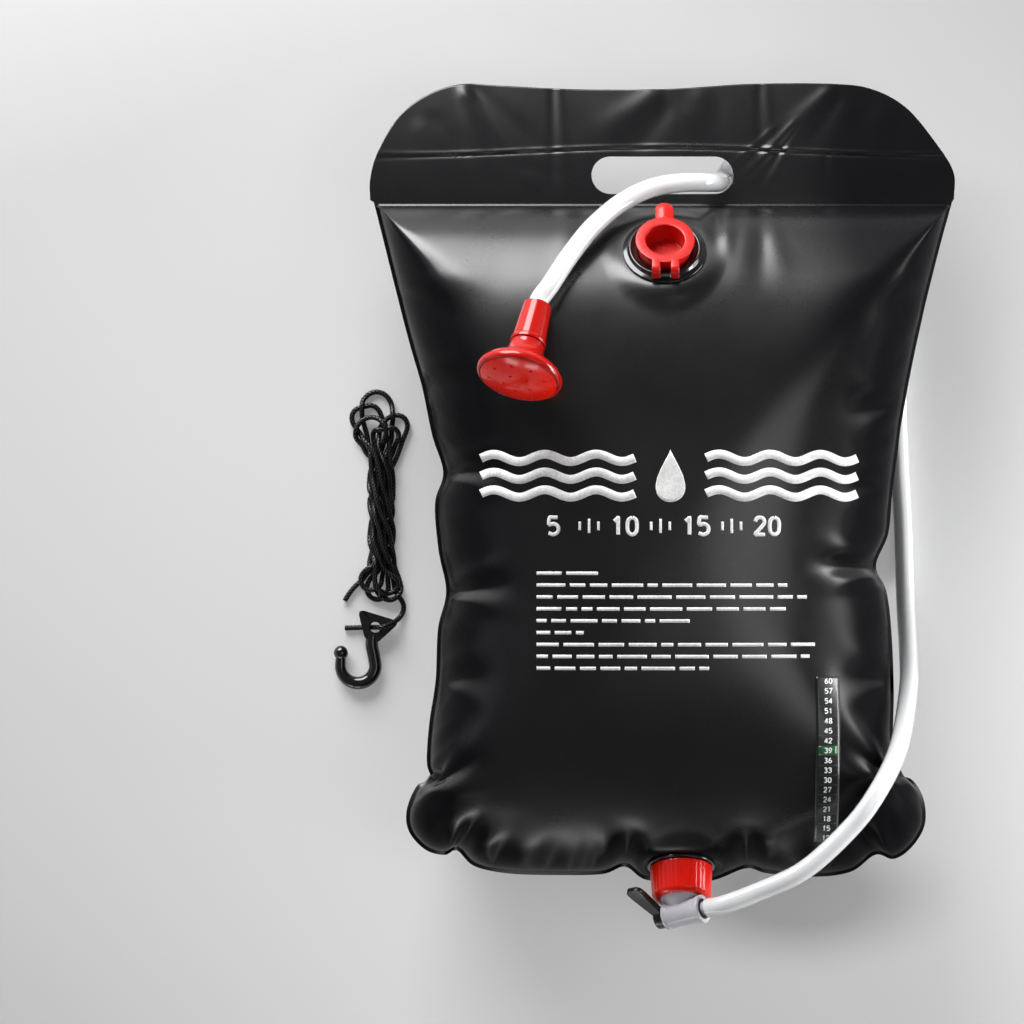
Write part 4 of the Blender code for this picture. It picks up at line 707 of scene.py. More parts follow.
# The temperature strip: a thin dark film on the lower right of the front, with a column of plain
# numbers, a thin green line between each two, and one green cell under the reading.
STRIP_MIDDLE = np.array((114.5, -157)) * MM
STRIP_SIZE = np.array((17, 118)) * MM
STRIP_FILM = 0.4 * MM
STRIP_READINGS = range(60, 11, -3)
READING_PITCH = 6.98 * MM
READING_HEIGHT, READING_WEIGHT = 3.4 * MM, 0.75 * MM
CELL_SIZE = (13.6 * MM, 6.2 * MM)
CELL_LINE = 0.25 * MM
LIT_READING = 7


def plan_patch(middle, size, count):
    """A flat grid of points over a rectangle, its faces up."""
    across, along = (np.linspace(m - s / 2, m + s / 2, n) for m, s, n in zip(middle, size, count))
    x, y = np.meshgrid(across, along)
    return grid_part(np.dstack([x, y, np.full(x.shape, DRAWN_AT)]))


def strip_film(name, dark, light, gloss):
    """The strip's laminated film: a fine weave of two shades under a clear skin."""
    material, tree, skin = new_material(name, dark, gloss)
    weave = noise(tree, Scale=700.0, Detail=2.0)
    feed(skin["Base Color"], two_tones(tree, weave, dark, light))
    feed(skin["Coat Weight"], 0.3)
    return material


dark_strip = strip_film("strip", (0.006, 0.008, 0.007), (0.011, 0.014, 0.012), 0.35)
lit_green = strip_film("lit_green", (0.01, 0.075, 0.022), (0.016, 0.12, 0.035), 0.3)
line_green = strip_film("cell_lines", (0.02, 0.045, 0.03), (0.03, 0.06, 0.04), 0.4)
strip_top = INK_LIFT + STRIP_FILM
first_reading = STRIP_MIDDLE[1] + (len(STRIP_READINGS) - 1) / 2 * READING_PITCH
reading_rows = first_reading - np.arange(len(STRIP_READINGS)) * READING_PITCH
cell_places = np.column_stack([np.full(len(reading_rows), STRIP_MIDDLE[0]), reading_rows])
reading_parts = []
for reading, middle in zip(STRIP_READINGS, cell_places):
    reading_parts += number(reading, middle, READING_HEIGHT, READING_WEIGHT)
cell_rims = [plan_patch(middle - (0, READING_PITCH / 2), (CELL_SIZE[0], CELL_LINE), (6, 2))
             for middle in cell_places[:-1]]
strip_patch = plan_patch(STRIP_MIDDLE, STRIP_SIZE, (9, 60))
lit_patch = plan_patch(cell_places[LIT_READING], CELL_SIZE, (6, 5))
strip_piece = laid("strip_film", [strip_patch], dark_strip, INK_LIFT, STRIP_FILM)
lit_cell = laid("lit_cell", [lit_patch], lit_green, strip_top, INK)
strip_cells = laid("strip_cells", cell_rims, line_green, strip_top, INK / 2)
strip_numbers = laid("strip_numbers", reading_parts, white_ink, strip_top + INK, INK)
for piece in (print_ink, strip_piece, lit_cell, strip_cells, strip_numbers):
    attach(piece, "bag")
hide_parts("thermometer_strip")


# The filler: a black ring welded into the top of the front, and a soft red stopper, its cup open
# upward, with a tab to pull it by and two arms that hinge on a pin in the ring's lug.
FLANGE_PROFILE = np.array((
    (19.3, -6), (22, -6), (22, 0), (29.7, 0), (29.7, 1.3), (26.4, 2.2), (25.2, 4.8), (24.0, 4.8),
    (22.2, 3.0), (20.3, 2.5), (19.3, 2.0))) * MM
STOPPER_PROFILE = np.array((
    (0.01, -6), (16.8, -6), (17.3, -5.4), (18.9, 2.4), (18.9, 11), (20.9, 11), (20.9, 13), (14.3, 13),
    (13.7, 12.4), (13.3, -3), (0.01, -3))) * MM
TAB_WIDTH, TAB_NEAR, TAB_FAR = 13 * MM, 16 * MM, 35 * MM
TAB_LOW, TAB_HIGH, TAB_BEVEL = 10.6 * MM, 12.7 * MM, 0.6 * MM
ARM_ROUTE_MM = (
    (0, -17.5, 11.7), (0, -22, 11.7), (0, -25.2, 11.3), (0, -26.6, 9.6), (0, -26.7, 7), (0, -26.7, 3.4))
ARM_ASIDE = 6.7 * MM
ARM_SECTION = (6 * MM, 2.6 * MM, 0.9 * MM)
LUG_SECTION = (6.4 * MM, 3.4 * MM, 0.8 * MM)
LUG_HEIGHTS_MM = (0.8, 2.4, 4.4, 5.6, 6.2)


def rounded(profile, radius, steps=4):
    """An open line whose inner corners become arcs: each corner is replaced by points on a curve
    between two points that lie radius away along its legs."""
    profile = np.asarray(profile, float)
    out = [profile[:1]]
    share = np.linspace(0, 1, steps + 1)[:, None]
    for a, b, c in zip(profile[:-2], profile[1:-1], profile[2:]):
        before, after = np.linalg.norm(a - b), np.linalg.norm(c - b)
        start = b + (a - b) * min(radius, before * 0.45) / before
        end = b + (c - b) * min(radius, after * 0.45) / after
        out.append((1 - share) ** 2 * start + 2 * share * (1 - share) * b + share ** 2 * end)
    return np.vstack([*out, profile[-1:]])


def rounded_ring(profile, radius, steps=4):
    """The same for a line that closes on itself."""
    profile = np.asarray(profile, float)
    return rounded(np.vstack([profile[-1:], profile, profile[:1]]), radius, steps)[1:-1]


def lathe(profile, steps):
    """A profile of (r, z) turned round Z: radius times cosine and sine of each step's angle."""
    turn = np.linspace(0, 2 * np.pi, steps, endpoint=False)
    radius, height = profile[:, :1], np.tile(profile[:, 1:], steps)
    return np.dstack([radius * np.cos(turn), radius * np.sin(turn), height])


def seated(grid, place, axes):
    """A grid in a fitting's own frame, moved to its place: its x, y, z along the frame's axes."""
    return grid @ axes + place


def turned_ring(profile, edge, steps, place, axes):
    """A turned ring seated in a fitting: its profile closes on itself, its corners rounded by edge."""
    grid = seated(lathe(rounded_ring(profile, edge), steps), place, axes)
    return grid_part(grid, around=True, along=True)


def turned_solid(profile, edge, steps, place, axes):
    """A turned solid seated in a fitting: its profile runs from its axis back to its axis."""
    return capped(seated(lathe(rounded(profile, edge), steps), place, axes))


def slab(outline, low, high, bevel):
    """A flat bar: its outline drawn at four heights, the first and the last drawn in by the bevel."""
    drawn_in = inward(outline, bevel)
    levels = ((drawn_in, low), (outline, low + bevel), (outline, high - bevel), (drawn_in, high))
    return np.stack([at_height(line, height) for line, height in levels])


def tab_plan(width, near, far):
    """Plan of a strip with a round end, from near out to far along Y."""
    turn = np.linspace(0, np.pi, 17)
    arc = np.column_stack([np.cos(turn), np.sin(turn)]) * width / 2 + (0, far - width / 2)
    return np.vstack([[(width / 2, near)], arc, [(-width / 2, near)]])


def bar_along(path, section):
    """A closed bar: the flat section carried along a path in the Y-Z plane, square to its slope."""
    path = np.asarray(path, float)
    ahead = np.gradient(path, axis=0)
    ahead /= np.linalg.norm(ahead, axis=1)[:, None]
    up = np.column_stack([np.zeros(len(path)), -ahead[:, 2], ahead[:, 1]])
    side = np.array((1.0, 0, 0))
    return path[:, None] + section[None, :, :1] * side + section[None, :, 1:] * up[:, None]


def rounded_box(width, height, radius, steps=5):
    """A rectangular section with round corners, anticlockwise."""
    corner = np.array(((-1, -1), (1, -1), (1, 1), (-1, 1))) * (width / 2, height / 2)
    return rounded_ring(corner, radius, steps)


def moulded_plastic(name, colour, roughness, speck=0.02, coat=0.0, shine=0.5):
    """Moulded plastic: a faint orange-peel skin, slow gloss changes and a little shade variation."""
    material, tree, skin = new_material(name, colour, roughness)
    grain = noise(tree, Scale=420.0, Detail=2.0)
    cloud = noise(tree, Scale=38.0, Detail=4.0)
    darker, lighter = ([min(1, c * (1 + change * speck)) for c in colour] for change in (-4, 4))
    feed(skin["Base Color"], two_tones(tree, cloud, darker, lighter))
    feed(skin["Roughness"], add_node(tree, "MapRange", cloud, To_Min=roughness * 0.8,
                                     To_Max=roughness * 1.25))
    feed(skin["Normal"], add_node(tree, "Bump", Strength=0.06, Distance=0.0003, Height=grain))
    feed(skin["Coat Weight"], coat)
    feed(skin["Specular IOR Level"], shine)
    return material


def paint_node(name, material):
    """Gives a solid that still shows its material."""
    nodes[name].data.materials.clear()
    nodes[name].data.materials.append(material)


black_plastic = moulded_plastic("black_plastic", (0.008, 0.008, 0.009), 0.13, coat=0.3)
soft_red = moulded_plastic("dark_red_plastic", (0.52, 0.009, 0.006), 0.26, coat=0.1, shine=0.35)
steel = moulded_plastic("steel_pin", (0.5, 0.5, 0.52), 0.3)
filler_seat = (FILLER_PLACE, filler_axes)
filler_ring = make_piece("filler_ring", [turned_ring(FLANGE_PROFILE, 0.5 * MM, 96, *filler_seat)],
                         black_plastic, sharp=50)
tab = slab(tab_plan(TAB_WIDTH, TAB_NEAR, TAB_FAR), TAB_LOW, TAB_HIGH, TAB_BEVEL)
stopper_parts = [turned_solid(STOPPER_PROFILE, 0.5 * MM, 96, *filler_seat),
                 capped(seated(tab, *filler_seat))]
arm_path = smooth_line(np.array(ARM_ROUTE_MM) * MM, 24)
for side in (-ARM_ASIDE, ARM_ASIDE):
    arm = bar_along(arm_path + (side, 0, 0), rounded_box(*ARM_SECTION))
    stopper_parts.append(capped(seated(arm, *filler_seat)))
stopper = make_piece("stopper", stopper_parts, soft_red, sharp=50)
lug_path = np.array([(0, -26.7, height) for height in LUG_HEIGHTS_MM]) * MM
lug = bar_along(lug_path, rounded_box(*LUG_SECTION))
hinge_lug = make_piece("hinge_lug", [capped(seated(lug, *filler_seat))], black_plastic, sharp=50)
for piece, body, slot in ((filler_ring, "bag", "black_plastic"), (hinge_lug, "bag", "black_plastic"),
                          (stopper, "stopper", "dark_red_plastic")):
    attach(piece, body)
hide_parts("filler_flange")
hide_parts("filler_stopper")
paint_node("filler_hinge_pin", steel)


# The outlet: a black spout welded into the foot of the front, a fluted red union nut, and a milky
# tap with a barrel across its end, a dark lever on one side and the hose's spigot on the other.
nut_red = moulded_plastic("nut_red", (0.76, 0.010, 0.0035), 0.18, shine=0.4)
milky = moulded_plastic("white_plastic", (0.54, 0.535, 0.57), 0.28, speck=0.04, coat=0.2)
dark_grey = moulded_plastic("grey_plastic", (0.006, 0.006, 0.007), 0.3, coat=0.1)
seal_rubber = moulded_plastic("black_rubber", (0.012, 0.012, 0.012), 0.6)
SPOUT_PROFILE = np.array((
    (14.5, 0), (24, 0), (24, 1.6), (23.4, 2.0), (18, 2.0), (18, 17), (14.5, 17))) * MM
NUT_PROFILE = np.array((
    (18.3, 2.5), (22.2, 2.5), (22.25, 3.4), (21.1, 23.4), (20.2, 24.8), (18.8, 26.0), (15.6, 26.0),
    (15.6, 22.1), (18.3, 22.1))) * MM
NUT_FLUTES = 24
FLUTE_DEPTH, FLUTE_SINK = 0.3 * MM, 0.2 * MM
FLUTES_FADE_IN = (20.2 * MM, 20.9 * MM)
outlet_seat = (OUTLET_PLACE, outlet_axes)
outlet_ring = make_piece("outlet_ring", [turned_ring(SPOUT_PROFILE, 0.4 * MM, 96, *outlet_seat)],
                         black_plastic, sharp=50)
nut_grid = lathe(rounded_ring(NUT_PROFILE, 0.5 * MM), 10 * NUT_FLUTES)
nut_radius = np.hypot(nut_grid[..., 0], nut_grid[..., 1])
nut_turn = np.arctan2(nut_grid[..., 1], nut_grid[..., 0])
on_wall = smoothstep(*FLUTES_FADE_IN, nut_radius)
flute = FLUTE_DEPTH * np.abs(np.sin(nut_turn * NUT_FLUTES / 2)) ** 0.6 * on_wall
nut_grid[..., :2] *= ((nut_radius + flute - FLUTE_SINK * on_wall) / nut_radius)[..., None]
outlet_nut = make_piece("union_nut", [grid_part(seated(nut_grid, *outlet_seat), around=True, along=True)],
                        nut_red, sharp=60)

# The tap turns its barrel out of the nut's axis; the lever stands on the barrel's near end.
BARREL_TURN = np.radians(32.5)
BARREL_RISE, BARREL_ASIDE = 36.4 * MM, 3 * MM
TAP_NECK = np.array((
    (12.7, 19.6), (17.7, 19.6), (17.7, 21.8), (15.3, 21.8), (15.3, 25.6), (14.2, 27.4), (12.2, 29.4),
    (9.6, 32.0), (6.0, 35.0), (0.01, 35.6))) * MM
BARREL = np.array((
    (7.3, -15), (9.9, -15), (10.3, -14.6), (10.3, -12.6), (9.7, -12.0), (9.7, 11.4), (10.3, 12.0),
    (10.3, 14.6), (9.9, 15), (7.3, 15))) * MM
TAIL = np.array((
    (3.5, 9.3), (6.9, 9.3), (6.9, 12.3), (4.9, 12.3), (4.9, 19.0), (5.3, 19.6), (4.7, 25), (5.3, 25.6),
    (4.6, 30), (3.5, 30))) * MM
LEVER_HUB = np.array((
    (0.01, -22.8), (7.4, -22.8), (8, -22.2), (8, -15.3), (4.3, -15.3), (4.3, -19.0), (0.01, -19.0))) * MM
LEVER_REST = np.radians(20)
LEVER_TILT = np.tan(np.radians(10))
LEVER_FOOT, LEVER_END, LEVER_FACE = 4 * MM, 35 * MM, 19.05 * MM
# The lever's half width and half thickness, each at three places along it.
LEVER_HALF = np.array(((4, 32.7, 35), (3.5, 5.75, 3.6))) * MM
LEVER_THICK = np.array(((4, 26, 35), (2.9, 2.75, 1.7))) * MM
barrel_way = np.array((np.cos(BARREL_TURN), np.sin(BARREL_TURN), 0))
tap_local = np.array(((0, 0, -1), (-np.sin(BARREL_TURN), np.cos(BARREL_TURN), 0), barrel_way))
tap_axes = tap_local @ outlet_axes
tap_place = (barrel_way * BARREL_ASIDE + (0, 0, BARREL_RISE)) @ outlet_axes + OUTLET_PLACE
tap_body = make_piece("tap_body_shell", [
    turned_solid(TAP_NECK, 0.8 * MM, 72, *outlet_seat),
    turned_ring(BARREL, 0.4 * MM, 72, tap_place, tap_axes)], milky, sharp=50)
hose_spigot = make_piece("hose_spigot", [turned_ring(TAIL, 0.3 * MM, 48, tap_place, tap_axes)],
                         milky, sharp=50)
lever_turn = np.array(((np.cos(LEVER_REST), -np.sin(LEVER_REST), 0),
                       (np.sin(LEVER_REST), np.cos(LEVER_REST), 0), (0, 0, 1)))
lever_axes = lever_turn @ tap_axes
lever_along = np.linspace(LEVER_FOOT, LEVER_END, 18)
lever_half = np.interp(lever_along, *LEVER_HALF)
lever_thick = np.interp(lever_along, *LEVER_THICK)
lever_section = rounded_box(2, 2, 0.25)
lever_grid = np.stack([np.column_stack([
    lever_section[:, 0] * thick, np.full(len(lever_section), along),
    lever_section[:, 1] * half - LEVER_FACE - (along - LEVER_FOOT) * LEVER_TILT])
    for along, half, thick in zip(lever_along, lever_half, lever_thick)])
tap_lever = make_piece("lever", [
    turned_solid(LEVER_HUB, 0.5 * MM, 60, tap_place, lever_axes),
    capped(seated(lever_grid[:, ::-1], tap_place, lever_axes))], dark_grey, sharp=45)
for piece, body, node, slot in (
        (outlet_ring, "bag", "outlet_flange", "black_plastic"),
        (outlet_nut, "nut", "outlet_nut", "red_plastic"), (tap_body, "bag", "tap_body", "white_plastic"),
        (hose_spigot, "bag", "hose_tail", "white_plastic"),
        (tap_lever, "tap_key", "tap_lever", "grey_plastic")):
    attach(piece, body)
    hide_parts(node)
paint_node("outlet_gasket", seal_rubber)
paint_node("tap_seal", seal_rubber)
paint_node("tap_plug", dark_grey)


# The hose: clear PVC tube gone milky, from the tap's spigot over the bag's corner to the ground, up
# through the handle slot and over the front to the rose. Its route is that of the solid it replaces.
HOSE_RADIUS = 7 * MM
HOSE_BORE = 4.9 * MM
HOSE_POINTS, HOSE_SIDES = 420, 32
ROSE_PLACE = np.array((-90.1, 163.0, 165.8)) * MM
ROSE_LEAN, ROSE_AZIMUTH = np.radians(28), np.radians(-104.5)
level_way = np.array((np.cos(ROSE_AZIMUTH), np.sin(ROSE_AZIMUTH), 0))
up = np.array((0, 0, 1.0))
rose_axes = np.stack([level_way * np.sin(ROSE_LEAN) - up * np.cos(ROSE_LEAN), np.cross(up, level_way),
                      level_way * np.cos(ROSE_LEAN) + up * np.sin(ROSE_LEAN)])
HOSE_ON_TAIL, HOSE_IN_COLLAR = (18.8, 32.8), (-3.5, 13.7)
HOSE_ROUTE = np.array((
    (66, -250.5, 139.5), (98, -235, 146), (129, -207, 148), (148.5, -182, 147), (166, -149.5, 128),
    (176, -110, 88), (178.5, -82, 52), (179, -56, 23), (179, -32, 9.5), (178, 8.6, 7.4), (175.5, 52, 7.4),
    (174, 98, 7.4), (175, 140, 7.4), (172, 185, 7.4), (156, 236, 7.4), (123, 272, 8), (84, 283, 13),
    (55, 272, 30), (44.5, 258.5, 55), (41, 255, 76), (32, 254, 94), (12, 253, 106), (-10, 248.5, 112),
    (-30.5, 237.5, 122), (-51, 219.5, 139), (-68, 198, 152.5), (-81, 178, 161.5))) * MM


def swept(path, sections, start_up):
    """A closed section carried along a path: its frame turns only as much as the path does, each
    step's up being the last one's with the part along the new heading taken off."""
    ahead = np.gradient(path, axis=0)
    ahead /= np.linalg.norm(ahead, axis=1)[:, None]
    ups = [np.asarray(start_up, float)]
    for heading in ahead:
        level = ups[-1] - heading * (ups[-1] @ heading)
        ups.append(level / np.linalg.norm(level))
    ups = np.array(ups[1:])
    sides = np.cross(ups, ahead)
    sections = np.broadcast_to(sections, (len(path), *np.shape(sections)[-2:]))
    return path[:, None] + sections[..., :1] * sides[:, None] + sections[..., 1:] * ups[:, None]


hose_start = tap_place + tap_axes[2] * np.array(HOSE_ON_TAIL)[:, None] * MM
hose_end = ROSE_PLACE + rose_axes[2] * np.array(HOSE_IN_COLLAR)[:, None] * MM
hose_line = smooth_line(np.vstack([hose_start, HOSE_ROUTE, hose_end]), HOSE_POINTS)
outer_wall = swept(hose_line, circle(HOSE_RADIUS, HOSE_SIDES), (0, 0, 1))
bore_wall = swept(hose_line, circle(HOSE_BORE, HOSE_SIDES), (0, 0, 1))
hose_skin = np.concatenate([outer_wall, bore_wall[::-1]])


def clear_tube():
    """PVC tube gone milky: light goes through and scatters, and the skin has a soft shine.
    Painted shade: its colour greys where the camera sees it edge-on.
    """
    material, tree, skin = new_material("clear_hose", (0.86, 0.87, 0.88), 0.16)
    cloud = noise(tree, Scale=60.0, Detail=3.0)
    edge_shade_facing = add_node(tree, "LayerWeight", Blend=0.35).outputs["Facing"]
    feed(skin["Roughness"], add_node(tree, "MapRange", cloud, To_Min=0.10, To_Max=0.2))
    # Painted shade: greyer colour towards the edges seen edge-on; more light also goes through there.
    feed(skin["Base Color"], two_tones(tree, edge_shade_facing, (0.93, 0.935, 0.94), (0.80, 0.81, 0.83)))
    feed(skin["Transmission Weight"], eased(tree, edge_shade_facing, 0.25, 0.75, 0.14, 0.7))
    feed(skin["IOR"], 1.42)
    feed(skin["Coat Weight"], 0.3)
    return material


hose_piece = make_piece("hose_tube", [grid_part(hose_skin, around=True, along=True)], clear_tube(),
                        sharp=50)
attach(hose_piece, "bag")
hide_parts("hose")


# The rose: a glossy red collar pushed over the hose, a bell that turns on it, and a shallow domed
# face with two rings of spray holes.
bright_red = moulded_plastic("red_plastic", (0.41, 0.006, 0.003), 0.15, coat=0.1, shine=0.4)
face_red = moulded_plastic("spray_face_red", (0.97, 0.014, 0.003), 0.13, shine=0.3)
COLLAR = np.array((
    (7.3, 0), (9.6, 0), (10, 0.5), (10.3, 6), (11.9, 28.6), (12.3, 29.2), (12.7, 29.6), (12.7, 32),
    (8, 32), (8, 42), (4.9, 42), (4.9, 14), (7.3, 14))) * MM
BELL = np.array((
    (8.3, 32.3), (12, 32.3), (12.2, 36), (13.4, 40), (15.4, 43.4), (18.8, 46.6), (24.0, 50.0),
    (28.2, 53.2), (30.2, 56.2), (30.5, 58.0), (30.0, 60.2), (28.6, 61.3), (27.8, 61.3), (27.8, 59.2),
    (24, 59.2), (17, 47.6), (8.3, 44.3))) * MM
FACE_RADIUS, FACE_HEIGHT = 27.5 * MM, 61.3 * MM
FACE_DOME, FACE_WALL = 4.6 * MM, 1.8 * MM
SPRAY_RINGS = ((0.36, 5), (0.74, 9))
SPRAY_HOLE = 0.95 * MM
face_share = np.linspace(1, 0.0004, 26)
face_top = np.column_stack([FACE_RADIUS * face_share, FACE_HEIGHT + FACE_DOME * (1 - face_share ** 2.6)])
face_profile = np.vstack([face_top[::-1] - (0, FACE_WALL), face_top])
rose_seat = (ROSE_PLACE, rose_axes)
rose_collar = make_piece("rose_collar", [turned_ring(COLLAR, 0.5 * MM, 80, *rose_seat)], bright_red,
                         sharp=50)
rose_bell = make_piece("rose_bell", [turned_ring(BELL, 0.9 * MM, 120, *rose_seat)], bright_red, sharp=50)
face_grid = seated(lathe(face_profile, 120), *rose_seat)
rose_face = make_piece("rose_spray_face", [capped(face_grid)], face_red, sharp=50)
bit = np.stack([at_height(circle(SPRAY_HOLE, 12), height) for height in (50 * MM, 70 * MM)])
bits = []
for share, count in SPRAY_RINGS:
    for turn in np.arange(count) * 2 * np.pi / count:
        middle = np.array((np.cos(turn), np.sin(turn), 0)) * FACE_RADIUS * share
        bits.append(capped(seated(bit + middle, *rose_seat)))
cut_away(rose_face, bits)
for piece, body, node in ((rose_collar, "bag", "rose_socket"), (rose_bell, "rose_head", "rose_body"),
                          (rose_face, "rose_head", "rose_face")):
    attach(piece, body)
    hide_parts(node)
paint_node("rose_seal", seal_rubber)


# The hanging cord: a black braid in a hank. Ten runs are twisted into a bundle beside the bag and
# their loops fan out at both ends; one end lies by the lower loops, the other passes the hook's eye.
CORD_RADIUS = 1.9 * MM
WOUND_POINTS, CORD_POINTS, CORD_SIDES = 560, 3000, 16
BUNDLE_X, BUNDLE_LOW, BUNDLE_HIGH, BUNDLE_CENTRE = -203.5, -22, 58, 8.7
BUNDLE_TWIST = np.radians(170)
RUN_PITCH = 4.5
# Each run's column and layer in the bundle, in the order in which the cord goes through them.
RUNS = ((-1, 0), (1, 0), (0, 0), (-1.5, 1), (1.5, 1), (-0.5, 1), (0.5, 1), (-1, 2), (0, 2), (1, 2))
# Each loop's crown, half width and height over the ground, in millimetres.
TOP_LOOPS = ((-214, 97, 11, 3), (-195, 90, 10, 6), (-207, 107, 12.5, 11), (-202, 82, 9.5, 16),
             (-211, 87, 10, 20))
FOOT_LOOPS = ((-206, -46, 9, 3), (-198, -49, 9, 8), (-210, -40, 9, 13), (-200, -43, 9, 18))
FIRST_END = ((-230.5, -47, 2.2), (-226, -40, 2.2), (-219, -33, 2.2))
LAST_END = (
    (-197, -33, 11), (-190.5, -41, 7), (-186.8, -50, 5.5), (-188.4, -58.0, 8), (-194.0, -63.0, 11.6),
    (-200.5, -65.6, 12.6), (-204.6, -66.2, 11.2), (-206.8, -66.3, 8.8), (-208.0, -66.3, 6.8),
    (-209.4, -66.3, 4.7), (-212.0, -66.3, 2.8), (-216, -66.4, 2.2), (-222, -66.7, 2.2),
    (-230.5, -66.9, 2.2))
# How the cord is laid down, in millimetres: its spacing, its sinking a round, the radius that a bend
# eases to, and the length at its last end that stays put, with the length over which that fades.
LAY_ROUNDS, LAY_SPACING, LAY_SINK, LAY_BEND = 500, 4.3, 0.03, 7.6
HELD_LENGTH, HELD_FADE = 34, 30


def bundle_run(place, upward):
    """A run of the bundle, in mm: its place (column, layer) turned about the bundle's axis, by an
    angle in proportion to the height along the bundle."""
    rise = np.linspace(0, 1, 7)
    turn = BUNDLE_TWIST * rise
    x, z = place[0] * RUN_PITCH, (place[1] - 1) * RUN_PITCH
    run = np.column_stack([BUNDLE_X + x * np.cos(turn) - z * np.sin(turn),
                           BUNDLE_LOW + rise * (BUNDLE_HIGH - BUNDLE_LOW),
                           BUNDLE_CENTRE + x * np.sin(turn) + z * np.cos(turn)])
    return run if upward else run[::-1]


def end_loop(before, after, loop, sign):
    """A loop between two runs, in mm, from its crown, half width and height over the ground."""
    x, y, half, z = loop
    side = half * (np.sign(after[0] - before[0]) or 1)
    back = 1.15 * half * sign
    return np.array([(x - side, y - back, z), (x - 0.72 * side, y - 0.32 * back, z), (x, y, z),
                     (x + 0.72 * side, y - 0.32 * back, z), (x + side, y - back, z)])


def laid_down(line, rounds, thick):
    """The cord laid down, in mm: each round its points sink a little, ease towards their neighbours'
    middle where the bend is tight, keep their spacing, and part where two stretches are nearer than
    thick. The first two points and the held end stay where they are."""
    count = len(line)
    rest = np.linalg.norm(np.diff(line, axis=0), axis=1).mean()
    first, second = np.triu_indices(count, int(2 * thick / rest) + 1)
    home = line.copy()
    free = np.clip(((count - 1 - np.arange(count)) * rest - HELD_LENGTH) / HELD_FADE, 0, 1)[:, None]
    free[:2] = 0
    for k in range(rounds):
        line[:, 2:] -= LAY_SINK * free
        lean = (line[:-2] + line[2:]) / 2 - line[1:-1]
        tight = np.clip(2 * np.linalg.norm(lean, axis=1)[:, None] / rest ** 2 * LAY_BEND - 1, 0, 1)
        line[1:-1] += (0.06 + 0.5 * tight) * lean * free[1:-1]
        line[:, :2] += 0.05 * (1 - k / rounds) * (home[:, :2] - line[:, :2]) * free
        for _ in range(4):
            step = np.diff(line, axis=0)
            pull = step * (1 - rest / np.linalg.norm(step, axis=1)[:, None]) / 2
            line[:-1] += pull * free[:-1]
            line[1:] -= pull * free[1:]
        if k % 5 == 0:
            apart = line[first] - line[second]
            close = np.einsum("ij,ij->i", apart, apart) < (2 * thick) ** 2
            near, other = first[close], second[close]
        apart = line[near] - line[other]
        far = np.linalg.norm(apart, axis=1)[:, None]
        push = apart / far * np.maximum(0, thick - far) * 0.3
        np.add.at(line, near, push * free[near])
        np.add.at(line, other, -push * free[other])
        if k % 25 == 24:
            for ease in (0.5, -0.52) * (2 if k > rounds - 30 else 14):
                line[1:-1] += ease * ((line[:-2] + line[2:]) / 2 - line[1:-1]) * free[1:-1]
        line[:, 2] = np.maximum(line[:, 2], CORD_RADIUS / MM + 0.3)
    return line


runs = [bundle_run(place, k % 2 == 0) for k, place in enumerate(RUNS)]
wound = [FIRST_END, runs[0]]
for k in range(1, len(RUNS)):
    loop = (FOOT_LOOPS, TOP_LOOPS)[k % 2][(k - 1) // 2]
    wound += [end_loop(runs[k - 1][-1], runs[k][0], loop, (-1, 1)[k % 2]), runs[k]]
wound_line = smooth_line(np.vstack(wound + [LAST_END]), WOUND_POINTS)
cord_line = smooth_line(laid_down(wound_line, LAY_ROUNDS, LAY_SPACING), CORD_POINTS) * MM
cord_length = np.linalg.norm(np.diff(cord_line, axis=0), axis=1).sum()
cord_run = np.linspace(0, cord_length, len(cord_line))[:, None]
BRAID_STRANDS = 4
BRAID_PITCH = 11 * MM
BRAID_LOW, BRAID_RISE = 0.84, 0.17
braid_turn = np.linspace(0, 2 * np.pi, CORD_SIDES, endpoint=False)
winding = 2 * np.pi * cord_run * BRAID_STRANDS / BRAID_PITCH
crossing = [np.abs(np.cos((BRAID_STRANDS * braid_turn + way * winding) / 2)) for way in (1, -1)]
strand_height = np.maximum(*crossing)
braid = CORD_RADIUS * (BRAID_LOW + BRAID_RISE * strand_height)
cord_section = np.stack([braid * np.cos(braid_turn), braid * np.sin(braid_turn)], -1)
cord_grid = swept(cord_line, cord_section, (0, 0, 1))


def braided_cord():
    """Black polypropylene braid with fine threads. Painted shade: the gaps between the strands are
    coloured near black and lose their gloss, and the glossy strand tops are lighter.
    """
    material, tree, skin = new_material("black_cord", (0.012, 0.012, 0.013), 0.42)
    strand = add_node(tree, "Attribute", attribute_name="strand_height").outputs["Fac"]
    threads = noise(tree, Scale=900.0, Detail=2.0)
    # Painted shade: strand height darkens the colour of the gaps and turns their gloss off.
    top = eased(tree, strand, 0.72, 1.0, 0.05, 0.9)
    lit_tops_and_threads = add_node(tree, "Math", threads, top, operation="MULTIPLY")
    feed(skin["Specular IOR Level"], top)
    feed(skin["Base Color"], two_tones(tree, lit_tops_and_threads, (0.001, 0.001, 0.0011), (0.02, 0.02, 0.021)))
    feed(skin["Normal"], add_node(tree, "Bump", Strength=0.4, Distance=0.0004, Height=threads))
    return material


hank_piece = make_piece("hank", [capped(cord_grid)], braided_cord(), sharp=80)
strands = hank_piece.data.attributes.new("strand_height", "FLOAT", "POINT")
strands.data.foreach_set("value", np.append(strand_height.ravel(), (1, 1)))
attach(hank_piece, "bag")
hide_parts("hanging_cord")


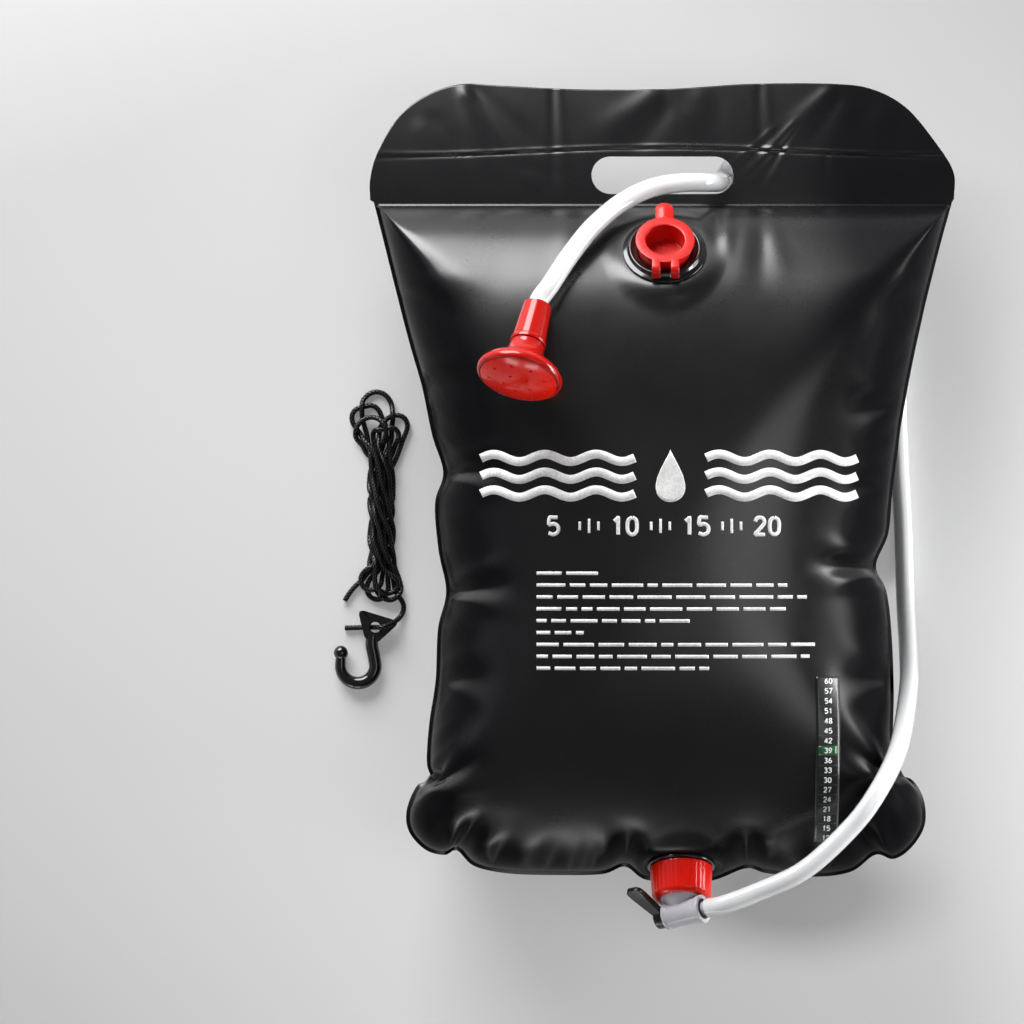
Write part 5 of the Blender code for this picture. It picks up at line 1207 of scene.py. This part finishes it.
# The hook: moulded black plastic, a round bar bent over to a ball tip, and a flat three-cornered head
# whose eye takes the cord.
HOOK_PLACE = np.array((-208.0, -66.3, 4.8)) * MM
HOOK_TURN = np.radians(-17)
BAR, TIP, BEND = 4.7, 3.6, 12.8
BALL_RADIUS, BALL_RISE = 5.3 * MM, 0.6 * MM
HOOK_POINTS, TAPER_START, HOOK_SIDES = 80, 48, 28
EYE_RADIUS = 3.9 * MM
HEAD_LOW, HEAD_HIGH, HEAD_BEVEL = -0.1 * MM, 3.9 * MM, 0.7 * MM
HEAD_MM = np.array((
    (-14.0, 7.3), (-11.9, 8.5), (11.9, 8.5), (14.0, 7.3), (13.5, 5.6), (4.7, -9.2), (-4.7, -9.2),
    (-13.5, 5.6)))
bend_turn = np.linspace(0, np.pi, 13)
hook_mm = np.vstack([[(-BAR / 2, -6), (-2.6, -13.4), (-1, -21.3)],
                     np.column_stack([-BEND + BEND * np.cos(bend_turn), -28 - BEND * np.sin(bend_turn)]),
                     [(-25.2, -18.7)]])
hook_line = smooth_line(hook_mm * MM, HOOK_POINTS)
hook_radius = np.interp(np.arange(HOOK_POINTS), (TAPER_START, HOOK_POINTS - 1), (BAR, TIP)) * MM
hook_bar = swept(at_height(hook_line, 0.0), circle(1, HOOK_SIDES) * hook_radius[:, None, None], (0, 0, 1))
ball_turn = np.linspace(-np.pi / 2 + 0.02, np.pi / 2 - 0.02, 20)
hook_ball = lathe(np.column_stack([np.cos(ball_turn), np.sin(ball_turn)]) * BALL_RADIUS, 32)
hook_ball = hook_ball + (*hook_line[-1], BALL_RISE)
head_axes = np.array(((np.cos(HOOK_TURN), np.sin(HOOK_TURN)), (-np.sin(HOOK_TURN), np.cos(HOOK_TURN))))
soft_head = rounded_ring(HEAD_MM @ head_axes, 1.6, 5)
head_edge = smooth_line(np.vstack([soft_head, soft_head[:1]]) * MM, 97)[:-1]
edge_turn = np.arctan2(head_edge[:, 1], head_edge[:, 0])
eye_edge = np.column_stack([np.cos(edge_turn), np.sin(edge_turn)]) * EYE_RADIUS


def head_ring(low, high, bevel):
    """The head as a closed ring: from the eye out over the underside, up the edge and back."""
    eye = [eye_edge * (1 + grow / EYE_RADIUS) for grow in (0, bevel)]
    rim = [inward(head_edge, width) for width in (0, bevel)]
    levels = ((eye[1], low), (rim[1], low), (rim[0], low + bevel), (rim[0], high - bevel), (rim[1], high),
              (eye[1], high), (eye[0], high - bevel), (eye[0], low + bevel))
    return np.stack([at_height(line, height) for line, height in levels])


hook_head = head_ring(HEAD_LOW, HEAD_HIGH, HEAD_BEVEL)[:, ::-1]
hook_piece = make_piece("hook_moulding", [
    capped(hook_bar + HOOK_PLACE), capped(hook_ball + HOOK_PLACE),
    grid_part(hook_head + HOOK_PLACE, around=True, along=True)], black_plastic, sharp=45)
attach(hook_piece, "hook_body")
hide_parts("hook")
